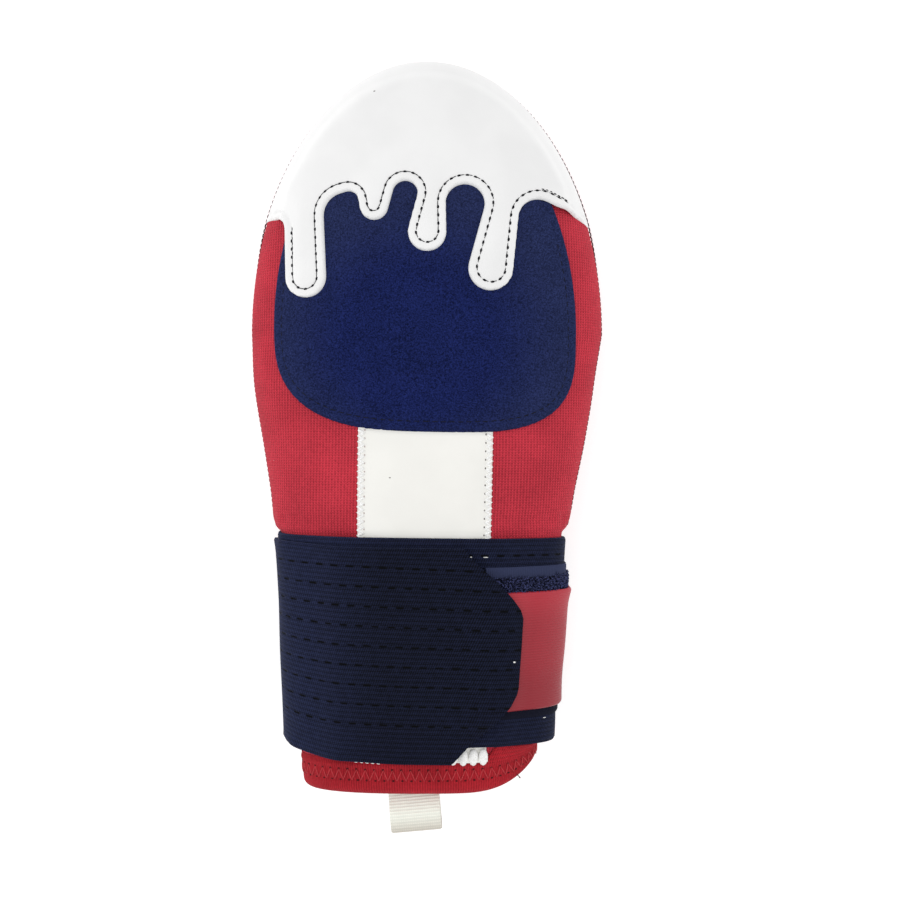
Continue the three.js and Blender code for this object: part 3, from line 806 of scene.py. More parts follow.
def webbing_paint(colour, tip):
    """Woven tape with ribs across it, with painted shade where it curves round its fold."""

    def paint(board):
        u, v = board.weave()
        ribs = v.wave(1.1) * 0.5 + 0.5
        yarns = (u.wave(0.8) * ribs.step(0.2, 0.8)) * 0.5 + 0.5
        dusty = board.noise(500, 3)
        light = ribs * 0.38 + yarns * 0.34 + dusty * 0.28
        cloth = board.mix(light.step(0.15, 0.8), shade(colour, 0.84), colour)
        # Painted shade: greyer toward the fold, where the tape curves round
        wear_and_fold_shade = board.mix(light.step(0.15, 0.8), shade(tip, 0.8), tip)
        return {
            "Base Color": board.mix(abs(v).step(9.0, 2.0), cloth, wear_and_fold_shade),
            "Roughness": 0.85,
            "Specular IOR Level": 0.2,
            "Normal": board.bump(ribs * 0.7 + yarns * 0.3, 0.00022, 0.9),
        }

    return paint


def yarn_paint(colour):
    """Twisted thread."""

    def paint(board):
        twist = board.noise(3000, 2).step(0.3, 0.7)
        return {
            "Base Color": board.mix(twist, shade(colour, 0.8), shade(colour, 1.1)),
            "Roughness": 0.7,
            "Specular IOR Level": 0.15,
        }

    return paint


def node_tree(name, inputs):
    """A geometry node tree with named inputs: its board, and a function that reads an input."""
    tree = bpy.data.node_groups.new(name, "GeometryNodeTree")
    tree.interface.new_socket(name="Geometry", in_out="INPUT", socket_type="NodeSocketGeometry")
    for label, kind in inputs.items():
        tree.interface.new_socket(name=label, in_out="INPUT", socket_type=kind)
    tree.interface.new_socket(name="Geometry", in_out="OUTPUT", socket_type="NodeSocketGeometry")
    board = Board(tree)
    source = tree.nodes.new("NodeGroupInput")
    return board, lambda label: Wire(board, source.outputs[label])


def close_tree(board, geometry, material):
    """Realize Instances, Set Material and the tree's output."""
    real = board.node("GeometryNodeRealizeInstances", None, {"Geometry": geometry})
    painted = board.node("GeometryNodeSetMaterial", None, {"Geometry": real, "Material": material})
    output = board.tree.nodes.new("NodeGroupOutput")
    board.tree.links.new(painted.socket, output.inputs["Geometry"])
    return board.tree


def even_line(board, geometry, length):
    """The guide as a curve with points a given length apart."""
    curve = board.node("GeometryNodeMeshToCurve", None, {"Mesh": geometry})
    return board.node("GeometryNodeResampleCurve", {"mode": "LENGTH"}, {"Curve": curve, "Length": length})


def outward(board):
    """The outward direction that each point of a guide carries."""
    sockets = {"Name": "up"}
    return board.node("GeometryNodeInputNamedAttribute", {"data_type": "FLOAT_VECTOR"}, sockets)


def facing(board):
    """Rotation that lays X along the guide and Z outward."""
    along = board.node("GeometryNodeInputTangent")
    settings = {"primary_axis": "X", "secondary_axis": "Z"}
    return board.node("FunctionNodeAxesToRotation", settings, {0: along, 1: outward(board)})


def joined(board, x, y, z):
    """A vector of three values."""
    return board.node("ShaderNodeCombineXYZ", None, {0: x, 1: y, 2: z})


def stitch_tree():
    """Running stitches: a short arc of thread at each pitch of the guide."""
    kinds = {"Pitch": "NodeSocketFloat", "Length": "NodeSocketFloat", "Thread Radius": "NodeSocketFloat"}
    kinds |= {"Rise": "NodeSocketFloat", "Sink": "NodeSocketFloat", "Thread": "NodeSocketMaterial"}
    board, given = node_tree("Running Stitch", kinds)
    half = given("Length") * 0.5
    low = given("Sink") * -1
    arc = board.node("GeometryNodeCurveQuadraticBezier", None, {
        "Resolution": 6,
        "Start": joined(board, half * -1, 0.0, low),
        "Middle": joined(board, 0.0, 0.0, given("Rise") * 2 + given("Sink")),
        "End": joined(board, half, 0.0, low),
    })
    rod = board.round_rod(given("Thread Radius"), 6)
    sockets = {"Curve": arc, "Profile Curve": rod, "Fill Caps": True}
    thread = board.node("GeometryNodeCurveToMesh", None, sockets)
    line = even_line(board, given("Geometry"), given("Pitch"))
    sockets = {"Points": line, "Instance": thread, "Rotation": facing(board)}
    return close_tree(board, board.node("GeometryNodeInstanceOnPoints", None, sockets), given("Thread"))


def bead_tree():
    """Needle holes and thread puffs: an oval bead at each pitch of the guide."""
    kinds = {key: "NodeSocketFloat" for key in ("Pitch", "Length", "Width", "Height")}
    kinds |= {"Bead": "NodeSocketMaterial"}
    board, given = node_tree("Beads On A Line", kinds)
    ball = board.node("GeometryNodeMeshIcoSphere", None, {"Radius": 0.5, "Subdivisions": 2})
    line = even_line(board, given("Geometry"), given("Pitch"))
    scale = joined(board, given("Length"), given("Width"), given("Height"))
    sockets = {"Points": line, "Instance": ball, "Rotation": facing(board), "Scale": scale}
    return close_tree(board, board.node("GeometryNodeInstanceOnPoints", None, sockets), given("Bead"))


def zigzag_tree():
    """A thread that runs from side to side of the guide and dips at each turn."""
    kinds = {"Step": "NodeSocketFloat", "Width": "NodeSocketFloat", "Thread Radius": "NodeSocketFloat"}
    kinds |= {"Rise": "NodeSocketFloat", "Thread": "NodeSocketMaterial"}
    board, given = node_tree("Zigzag Thread", kinds)
    line = even_line(board, given("Geometry"), given("Step"))
    index = board.node("GeometryNodeInputIndex")
    side = index.math("MODULO", 2.0) * 2 - 1
    along = board.node("GeometryNodeInputTangent")
    sideways = board.vector("NORMALIZE", {0: board.vector("CROSS_PRODUCT", {0: outward(board), 1: along})})
    reach = board.vector("SCALE", {0: sideways, "Scale": side * given("Width") * 0.5})
    bent = board.node("GeometryNodeSetPosition", None, {"Geometry": line, "Offset": reach})
    fine = board.node("GeometryNodeSubdivideCurve", None, {"Curve": bent, "Cuts": 3})
    place = board.node("GeometryNodeInputIndex")
    part = (place / 4).frac()
    hump = (part * math.pi).math("SINE") * given("Rise")
    lift = board.vector("SCALE", {0: outward(board), "Scale": hump})
    raised = board.node("GeometryNodeSetPosition", None, {"Geometry": fine, "Offset": lift})
    rod = board.round_rod(given("Thread Radius"), 6)
    sockets = {"Curve": raised, "Profile Curve": rod, "Fill Caps": True}
    return close_tree(board, board.node("GeometryNodeCurveToMesh", None, sockets), given("Thread"))


def pile_tree():
    """Fastening pile: small arched fibres scattered over the marked part of a sheet."""
    kinds = {key: "NodeSocketFloat" for key in ("Density", "Fibre Length", "Fibre Radius")}
    kinds |= {"Seed": "NodeSocketInt", "Fibre": "NodeSocketMaterial"}
    board, given = node_tree("Fastening Pile", kinds)
    marked = board.node("GeometryNodeInputNamedAttribute", {"data_type": "FLOAT"}, {"Name": "pile"})
    sockets = {"Mesh": given("Geometry"), "Density": marked * given("Density"), "Seed": given("Seed")}
    spots = board.node("GeometryNodeDistributePointsOnFaces", {"distribute_method": "RANDOM"}, sockets)
    turned = Wire(board, spots.socket.node.outputs["Rotation"])
    spread = board.node(
        "FunctionNodeRandomValue", {"data_type": "FLOAT_VECTOR"},
        {"Min": (-0.7, -0.7, -3.14), "Max": (0.7, 0.7, 3.14), "Seed": given("Seed")},
    )
    own = board.node("FunctionNodeEulerToRotation", None, {0: spread})
    turned = board.node("FunctionNodeRotateRotation", {"rotation_space": "LOCAL"}, {0: turned, 1: own})
    size = given("Fibre Length")
    arc = board.node("GeometryNodeCurveQuadraticBezier", None, {
        "Resolution": 5,
        "Start": joined(board, size * -0.3, 0.0, 0.0),
        "Middle": joined(board, 0.0, 0.0, size * 2),
        "End": joined(board, size * 0.3, 0.0, 0.0),
    })
    rod = board.round_rod(given("Fibre Radius"), 3)
    fibre = board.node("GeometryNodeCurveToMesh", None, {"Curve": arc, "Profile Curve": rod})
    sockets = {"Points": spots, "Instance": fibre, "Rotation": turned}
    return close_tree(board, board.node("GeometryNodeInstanceOnPoints", None, sockets), given("Fibre"))


TREES = {}


def grow(name, guide, make, **values):
    """Runs a node tree on a guide and keeps the result as a plain mesh. Lengths are in metres."""
    tree = TREES.get(make) or TREES.setdefault(make, make())
    modifier = guide.modifiers.new(name, "NODES")
    modifier.node_group = tree
    for item in tree.interface.items_tree:
        key = item.name.lower().replace(" ", "_")
        if item.item_type == "SOCKET" and item.in_out == "INPUT" and key in values:
            modifier[item.identifier] = values[key]
    bpy.context.view_layer.update()
    depsgraph = bpy.context.evaluated_depsgraph_get()
    mesh = bpy.data.meshes.new_from_object(guide.evaluated_get(depsgraph), depsgraph=depsgraph)
    mesh.name = name
    mesh.polygons.foreach_set("use_smooth", [True] * len(mesh.polygons))
    made = bpy.data.objects.new(name, mesh)
    bpy.context.scene.collection.objects.link(made)
    bpy.data.objects.remove(guide)
    return made


def settle(piece, slot, *nodes):
    """Every piece rides on the one body; some stand for nodes of the frame."""
    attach(piece, "root")
    if nodes:
        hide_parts(*nodes)


def sew(name, slot, points, ups, tree, closed=False, **values):
    """Thread, needle holes or specks along a line, as a piece of their own."""
    settle(grow(name, guide_line(f"{name} guide", points, ups, closed=closed), tree, **values), slot)


def painted(piece, material):
    """Makes the material the piece's only one."""
    piece.data.materials.clear()
    piece.data.materials.append(material)


def declare_sheet(piece, share=1.0):
    """Works out the area of the flat cut from its size and the share of that rectangle that it fills;
    nothing uses the area.
    """
    width, length = FLAT_CUTS[piece.name]
    area = width * length * share * MM * MM


def drip_line(inset=0.0):
    """The cap's lower edge in the plan, or the line a given distance inside it."""
    arcs = [(x, y, radius - bend * inset if radius else 0.0, bend) for x, y, radius, bend in DRIP_EDGE]
    headings = []
    for (ax, ay, ar, ab), (bx, by, br, bb) in zip(arcs, arcs[1:]):
        turn = np.clip((ab * ar - bb * br) / math.hypot(bx - ax, by - ay), -1, 1)
        headings.append(math.atan2(by - ay, bx - ax) + math.asin(turn))
    line = []
    for i, (x, y, radius, bend) in enumerate(arcs):
        first, last = headings[max(i - 1, 0)], headings[min(i, len(headings) - 1)]
        sweep = last - first
        while bend * sweep < -1e-6:
            sweep += bend * 2 * math.pi
        for heading in np.linspace(first, first + sweep, max(2, round(abs(sweep) * 6)) if radius else 1):
            line.append((x + bend * radius * math.sin(heading), y - bend * radius * math.cos(heading)))
    return np.array(line)


def cap_outline():
    """The drip line closed round the outside of the fingers."""
    return np.concatenate([drip_line(), [(90, 80), (90, 170), (-90, 170), (-90, 83)]])


def pad_outline():
    """The back pad's outline in the plan: quarters of rounded rectangles."""
    quarters = (
        (1, 1, PAD_RIGHT_HALF, PAD_REACH, 2.0),
        (-1, 1, PAD_LEFT_HALF, PAD_REACH, 2.0),
        (-1, -1, PAD_LEFT_HALF, PAD_DEPTH, PAD_LEFT_POWER),
        (1, -1, PAD_RIGHT_HALF, PAD_DEPTH, PAD_RIGHT_POWER),
    )
    line = []
    for sx, sy, half, tall, power in quarters:
        turn = np.linspace(0, math.pi / 2, 60, endpoint=False)
        if sx * sy < 0:
            turn = math.pi / 2 - turn
        c, s = np.cos(turn) ** (2 / power), np.sin(turn) ** (2 / power)
        line.append(np.stack([sx * half * c, PAD_MIDDLE_Y + sy * tall * s + PAD_TILT * sx * half * c], -1))
    return np.concatenate(line)


def pad_low_edge(x):
    """Where the pad's outline ends toward the wrist, at each x of the plan."""
    power = np.where(x < 0, PAD_LEFT_POWER, PAD_RIGHT_POWER)
    half = np.where(x < 0, PAD_LEFT_HALF, PAD_RIGHT_HALF)
    return PAD_MIDDLE_Y + PAD_TILT * x - PAD_DEPTH * (1 - (np.abs(x) / half) ** power) ** (1 / power)


def inset_outline(line, inset):
    """A closed counter-clockwise line moved inward."""
    along = np.roll(line, -1, 0) - np.roll(line, 1, 0)
    along /= np.linalg.norm(along, axis=1)[:, None]
    return line + inset * np.stack([-along[:, 1], along[:, 0]], -1)


def cap_base(x, y):
    """Offset of the cap's under face: over the pad in the middle, on the shell at its rim."""
    fall = smooth(reach_out(x, y), CAP_OVER_PAD, CAP_ON_SHELL)
    return PAD_HEIGHT + 0.1 - PAD_HEIGHT * fall


def on_hand(line):
    """Places of the bare hand under a line of the cap's plan."""
    x, y = line.T
    return bare(x, y, cap_base(x, y) + CAP_THICK / 2)


def cap_height(x, y, edge):
    """Offset of the cap's upper face at a distance from its drip edge."""
    rise = CAP_THICK * np.sqrt(1 - (1 - np.clip(edge / 0.5, 0, 1)) ** 2)
    groove = 0.4 * np.exp(-(((edge - CAP_GROOVE) / 0.5) ** 2))
    puff = 0.75 * smooth(edge, 3.2, 9) * (1 - smooth(reach_out(x, y), 0.82, 0.97))
    thin = 0.9 * smooth(reach_out(x, y), 0.9, 1.0)
    return cap_base(x, y) + np.maximum(rise - groove + puff - thin, 0.15)


def band_point(y, angle, offset):
    """Points of a band round the wrist, which runs straight past the ends of the narrow part."""
    y, angle, offset = np.broadcast_arrays(y, angle, offset)
    points = skin(np.clip(y, *STRAP_STATIONS), angle, offset)
    points[..., 1] = y
    return points


def over_strip(angle):
    """Extra height of the strap where it crosses the strip on the back."""
    across, up = ring(angle)
    return np.where(up < 0, 0, (STRIP_THICK + GAP) * (1 - smooth(np.abs(across), STRIP_REACH, STRIP_FADE)))


def across_at(x, offset=5.0):
    """Share of the wrist's half width that a place of the strap's plan reaches."""
    centre, half = section(np.array(STRAP_MIDDLE_Y))[:2]
    return (x - centre) / (half + offset)


def strap_offset(angle, drop):
    """Offset of the strap's under face along its winding."""
    turned = STRAP_START - angle
    second = smooth(turned, 2 * math.pi - 0.38, 2 * math.pi - 0.06)
    across, up = ring(angle)
    inside = 1 - smooth(drop, 60, 70)
    patch = smooth(across, 0.08, across_at(PATCH["start_x"]) - 0.05) * (PATCH["thick"] + GAP)
    tab = smooth(across, 0.26, across_at(TAB["start_x"]) - 0.1) * (TAB["thick"] + GAP)
    on_top = (turned > 2 * math.pi) & (up > 0)
    layer = STRAP_THICK + STRAP_LAYER_GAP
    return GAP + over_strip(angle) + second * layer + np.where(on_top, inside * (patch + tab), 0)


def lengths_along(points):
    """Running length down the first axis of a grid, at its middle column."""
    middle = points[:, points.shape[1] // 2]
    return np.concatenate([[0], np.cumsum(np.linalg.norm(np.diff(middle, axis=0), axis=1))])


class MittColours(bpy.types.PropertyGroup):
    def paint(label, *display):
        return bpy.props.FloatVectorProperty(
            name=label, description=f"Colour of the {label.lower()}", subtype="COLOR",
            size=3, min=0, max=1, default=linear(*display),
        )

    knit: paint("Red knit panels", 187, 52, 66)
    nap: paint("Navy pad", 23, 32, 79)
    # Painted sheen: the lighter colour of the pad's rim
    nap_rim_sheen: paint("Brushed rim of the pad", 36, 44, 80)
    cap: paint("Fingertip cap", 235, 235, 235)
    strip: paint("Centre strip", 239, 238, 233)
    tape: paint("Hem tape", 172, 36, 46)
    elastic: paint("Wrist elastic", 16, 20, 38)
    pile: paint("Fastening pile", 30, 33, 56)
    selvage: paint("Pile selvage", 50, 56, 84)
    rubber: paint("Pull tab", 152, 31, 45)
    # Painted highlight on the tab's edge
    rubber_edge_highlight: paint("Painted highlight on the tab's edge", 196, 132, 130)
    webbing: paint("Webbing", 250, 252, 241)
    # Painted shade at the webbing's fold
    webbing_tip: paint("Painted shade at the webbing's fold", 218, 212, 200)
    dark_thread: paint("Dark thread", 22, 22, 28)
    seam_thread: paint("Side seam thread", 58, 16, 26)
    pale_thread: paint("Overlock thread", 250, 250, 246)
    red_thread: paint("Hem thread", 192, 64, 70)


class MittSizes(bpy.types.PropertyGroup):
    def length(label, about, value):
        return bpy.props.FloatProperty(
            name=label, description=about, default=value, min=0, subtype="DISTANCE", unit="LENGTH",
        )

    stitch_pitch: length("Stitch pitch", "From one needle hole to the next", 2.95 * MM)
    stitch_inset: length("Stitch inset", "From the cap's edge to its stitches", CAP_GROOVE * MM)
    thread_radius: length("Thread radius", "Half the thread's thickness", 0.13 * MM)
    wale: length("Knit column", "Width of a column of knit stitches", 1.15 * MM)
    course: length("Knit row", "Height of a row of knit stitches", 0.95 * MM)
    rib: length("Elastic rib", "From one rib of the elastic to the next", 1.65 * MM)
    slit_pitch: length("Slit pitch", "From one slit of a row to the next", 5.6 * MM)
    slit_rows: length("Slit rows", "From one row of slits to the next", 6.85 * MM)


class MittStage(bpy.types.PropertyGroup):
    def light(label, about, value):
        return bpy.props.FloatProperty(
            name=label, description=about, default=value, min=0, subtype="POWER", unit="POWER",
        )

    camera_height: bpy.props.FloatProperty(
        name="Camera height", description="Height of the camera above the floor",
        default=0.45, min=0.1, subtype="DISTANCE", unit="LENGTH",
    )
    key_power: light("Overhead light", "Power of the large light above", 4.6)
    left_power: light("Left light", "Power of the light at the left", 5.0)
    right_power: light("Right light", "Power of the light at the right", 3.4)
    sky: bpy.props.FloatProperty(
        name="Surroundings", description="Strength of the even light all round", default=0.78, min=0,
    )
    floor: bpy.props.FloatVectorProperty(
        name="Floor", description="Colour of the floor", subtype="COLOR",
        size=3, min=0, max=1, default=(0.66, 0.66, 0.66),
    )


class MITT_OT_hand_panels(bpy.types.Operator):
    """Knitted foam panels over the back and under the palm, and the seam that joins them"""

    bl_idname = "mitt.hand_panels"
    bl_label = "Hand Panels"

    def execute(self, context):
        colours, sizes = context.scene.mitt_colours, context.scene.mitt_sizes
        knit = finish("red knit", knit_paint(tuple(colours.knit), sizes.wale / MM, sizes.course / MM))
        wrist = np.concatenate([
            np.linspace(MOUTH_Y, -36, 26, endpoint=False), np.linspace(-36, -24, 12, endpoint=False),
            np.linspace(-24, NOSE_START, 26, endpoint=False),
        ])
        nose = NOSE_START + NOSE_LENGTH * np.sin(np.linspace(0, math.pi / 2, 34))
        stations = np.concatenate([wrist, nose])[:, None]
        share = np.linspace(0, 1, 73)
        share = share - SEAM_CROWDING * np.sin(share * 2 * math.pi) / (2 * math.pi)
        for side, name in ((1, "back_panel"), (-1, "palm_panel")):
            angles = side * math.pi * share[None, :]
            around = skin(np.array([[0.0]]), angles, 0)[0]
            lengths = np.concatenate([[0], np.cumsum(np.linalg.norm(np.diff(around, axis=0), axis=1))])
            seam = np.minimum(lengths, lengths[-1] - lengths)[None, :]
            outer = skin(stations, angles, self.relief(stations, lengths[None, :], seam, side))
            inner = skin(stations, angles, -SHELL_WALL + 0 * seam)
            for grid in (outer, inner):
                grid[..., 2] += np.where(grid[..., 2] > 0, -side * 0.02, 0)
            middle = outer.shape[1] // 2
            steps = np.linalg.norm(np.diff(outer, axis=1), axis=2)
            across = np.concatenate([np.zeros((len(outer), 1)), np.cumsum(steps, 1)], 1)
            across -= across[:, middle : middle + 1]
            weave = np.stack(np.broadcast_arrays(across, lengths_along(outer)[:, None]), -1)
            panel = slab(name, outer, inner, weave, free=self.free(outer, seam, side))
            swell(panel, 1.0)
            subdivided(panel)
            painted(panel, knit)
            settle(panel, "red_neoprene", "back_shell" if side > 0 else "palm_shell")
        self.seam(colours)
        return {"FINISHED"}

    def free(self, outer, seam, side):
        """Share of freedom to puff up: none at the seam, the strap, the pad or the floor."""
        x, y, z = np.moveaxis(outer, -1, 0)
        share = smooth(seam, 1.5, 7) * smooth(y, STRAP_TOP_Y + 1.5, STRAP_TOP_Y + 9)
        if side < 0:
            return share * smooth(z, 0.3, 5)
        inside = covers(pad_outline(), x, y) | covers(cap_outline(), x, y)
        strip = smooth(np.abs(x), 24.5, 30)
        edges = np.concatenate([resampled(pad_outline(), 0.5, closed=True), resampled(drip_line(), 0.5)])
        away = distance_to([(px, py, 0) for px, py in edges])
        near = away(np.stack([x, y, 0 * x], -1).reshape(-1, 3)).reshape(x.shape)
        return np.where(inside, 0, share * strip * smooth(near, 0.8, 5))

    def relief(self, stations, lengths, seam, side):
        """Rounded seam edges, gathers where the strap pulls in, and soft unevenness."""
        squeeze = np.exp(-(((stations + 27.5) / 3.2) ** 2))
        gathers = 0.35 * squeeze * np.sin(lengths * 2 * math.pi / 7.3 + 1.4 * np.sin(lengths / 9.0))
        soft = 0.25 * ripple(lengths, stations, 5 + side, 34)
        if side < 0:
            soft = soft * (1 - smooth(seam, 10, 30))
        return gathers + soft * smooth(seam, 2, 12) - 0.55 * np.exp(-((seam / 0.8) ** 2))

    def seam(self, colours):
        """Overlock thread round the side seam."""
        stations = np.concatenate([
            np.linspace(-31, NOSE_START, 90, endpoint=False),
            NOSE_START + NOSE_LENGTH * np.sin(np.linspace(0, math.pi / 2, 90)),
        ])
        out = 0.05 + 0.8 * smooth(stations, NOSE_START + 20, NOSE_START + 45)
        right = skin(stations, 0.0, out)
        left = skin(stations, math.pi, out)[-2::-1]
        line = resampled(np.concatenate([right, left]), 1.0)
        middle = np.array([0, 20, 0])
        ups = unit((line - middle) * (1, 0.4, 0))
        thread = finish("seam thread", yarn_paint(tuple(colours.seam_thread)))
        sew(
            "side_seam", "red_neoprene", line, ups, zigzag_tree,
            step=0.95 * MM, width=2.0 * MM, thread_radius=0.25 * MM, rise=0.15 * MM, thread=thread,
        )


class MITT_OT_back_pad(bpy.types.Operator):
    """Brushed navy pad on the back of the hand, with the stitches near its rim"""

    bl_idname = "mitt.back_pad"
    bl_label = "Back Pad"

    def execute(self, context):
        colours, sizes = context.scene.mitt_colours, context.scene.mitt_sizes
        outline = resampled(bare(*pad_outline().T, PAD_HEIGHT / 2), 1.1, closed=True)
        insets = (0.3, 0.8, 1.5, 2.4, 3.3, 3.9, 4.6, 5.6)
        guides = [resampled(inset_outline(outline, d), 1.2, closed=True) for d in insets]
        edge = distance_to(back_point(*resampled(outline, 0.3, closed=True).T, 1.0))

        def top(x, y):
            away = edge(back_point(x, y, 1.0))
            roll = PAD_HEIGHT * np.sqrt(1 - (1 - np.clip(away / PAD_ROLL, 0, 1)) ** 2)
            groove = 0.3 * np.exp(-(((away - PAD_STITCH_INSET) / 0.8) ** 2))
            return back_point(x, y, roll - groove + 0.12 * ripple(x, y, 3, 26) * smooth(away, 4, 12))

        drips = distance_to([(x, y, 0) for x, y in resampled(drip_line(), 0.5)])

        def free(x, y):
            open_nap = ~covers(cap_outline(), x, y)
            beside = drips(np.stack([x, y, 0 * x], -1))
            return open_nap * smooth(edge(back_point(x, y, 1.0)), 4.2, 9) * smooth(beside, 0.2, 4)

        flat = [flat_of(*line.T) for line in (outline, *guides)]
        pad = leaf("navy_pad", flat[0], flat[1:], 2.0, top, lambda x, y: back_point(x, y, -0.15), free)
        swell(pad, 0.7)
        painted(pad, finish("navy nap", nap_paint(tuple(colours.nap), tuple(colours.nap_rim_sheen))))
        settle(pad, "navy_pad", "back_pad")
        self.stitches(sizes, outline, colours)
        return {"FINISHED"}

    def stitches(self, sizes, outline, colours):
        """Dark thread sunk in the nap inside the rim, where the cap leaves it open."""
        line = resampled(inset_outline(outline, PAD_STITCH_INSET), 0.5, closed=True)
        x, y = line.T
        dark = finish("pad thread", yarn_paint(tuple(colours.dark_thread)))
        parts = {"left": (x < 0) & (y < 66), "right": (x > 0) & (y < 70)}
        for name, part in parts.items():
            px, py = x[part], y[part]
            order = np.argsort(np.arctan2(px, -(py - PAD_MIDDLE_Y)) * (1 if name == "right" else -1))
            px, py = px[order], py[order]
            points, ups = back_point(px, py, PAD_HEIGHT - 0.22), back_normal(px, py, PAD_HEIGHT)
            sew(
                f"pad_stitches_{name}", "navy_pad", points, ups, stitch_tree,
                pitch=sizes.stitch_pitch, length=sizes.stitch_pitch * 0.7, thread_radius=sizes.thread_radius,
                rise=0.1 * MM, sink=0.2 * MM, thread=dark,
            )


class MITT_OT_tip_cap(bpy.types.Operator):
    """White fingertip cap with drips"""

    bl_idname = "mitt.tip_cap"
    bl_label = "Fingertip Cap"

    def execute(self, context):
        colours = context.scene.mitt_colours
        drips = on_hand(resampled(drip_line(), 0.7))
        start, end = drips[0], drips[-1]
        half = SECTIONS[-1, 2]
        turns = [math.atan2((y - NOSE_START) / NOSE_LENGTH, x / half) for x, y in (end, start)]
        turn = np.linspace(*turns, 260)
        rim = np.stack([half * np.cos(turn), NOSE_START + NOSE_LENGTH * np.sin(turn)], -1)
        border = np.concatenate([flat_of(*drips.T), rim])
        insets = (0.15, 0.4, 0.8, 1.6, 2.3, 2.9, 3.5, 4.3)
        guides = [flat_of(*on_hand(resampled(drip_line(d), 0.8)[3:-3]).T) for d in insets]
        edge = distance_to(back_point(*on_hand(resampled(drip_line(), 0.25)).T, 3.0))

        def top(x, y):
            away = edge(back_point(x, y, 3.0))
            return back_point(x, y, cap_height(x, y, away))

        cap = leaf("white_cap", border, guides, 1.7, top, lambda x, y: back_point(x, y, cap_base(x, y)))
        painted(cap, finish("white cap", hide_paint(tuple(colours.cap))))
        settle(cap, "white_cap", "tip_cap")
        declare_sheet(cap, CAP_FLAT_SHARE)
        return {"FINISHED"}


class MITT_OT_cap_stitches(bpy.types.Operator):
    """Dark stitches and needle holes along the drips"""

    bl_idname = "mitt.cap_stitches"
    bl_label = "Cap Stitches"

    def execute(self, context):
        colours, sizes = context.scene.mitt_colours, context.scene.mitt_sizes
        line = resampled(drip_line(sizes.stitch_inset / MM), GUIDE_STEP)
        first = np.argmax((line[:, 0] > STITCH_START[0]) & (line[:, 1] < STITCH_START[1]))
        line = line[first:]
        line = on_hand(line[: np.argmax(line[:, 0] > STITCH_END_X)])
        x, y = line.T
        height = cap_height(x, y, np.full(len(line), CAP_GROOVE))
        points, ups = back_point(x, y, height + 0.05), back_normal(x, y, height)
        dark = finish("dark thread", yarn_paint(tuple(colours.dark_thread)))
        sew(
            "cap_thread", "white_cap", points, ups, stitch_tree,
            pitch=sizes.stitch_pitch, length=sizes.stitch_pitch * 0.85, thread_radius=sizes.thread_radius,
            rise=0.08 * MM, sink=0.1 * MM, thread=dark,
        )
        start = round(sizes.stitch_pitch / MM / 2 / GUIDE_STEP)
        inward = unit(np.cross(ups, np.gradient(points, axis=0)))
        hollow = points + 0.1 * ups - 0.14 * inward
        sew(
            "cap_needle_holes", "white_cap", hollow[start:], ups[start:], bead_tree,
            pitch=sizes.stitch_pitch, length=1.35 * MM, width=0.95 * MM, height=0.36 * MM, bead=dark,
        )
        self.back_tacks(sizes, points, ups, inward, dark)
        return {"FINISHED"}

    def back_tacks(self, sizes, points, ups, inward, dark):
        """The seam's two ends are sewn over twice."""
        reach = round(BACK_TACK_LENGTH / GUIDE_STEP)
        for name, part, side in (("start", slice(0, reach), 0.25), ("end", slice(-reach, None), 0.55)):
            line = points[part] + side * inward[part]
            sew(
                f"cap_back_tack_{name}", "white_cap", line, ups[part], stitch_tree,
                pitch=sizes.stitch_pitch * 0.53, length=sizes.stitch_pitch * 0.45,
                thread_radius=sizes.thread_radius * 1.9, rise=0.08 * MM, sink=0.1 * MM, thread=dark,
            )


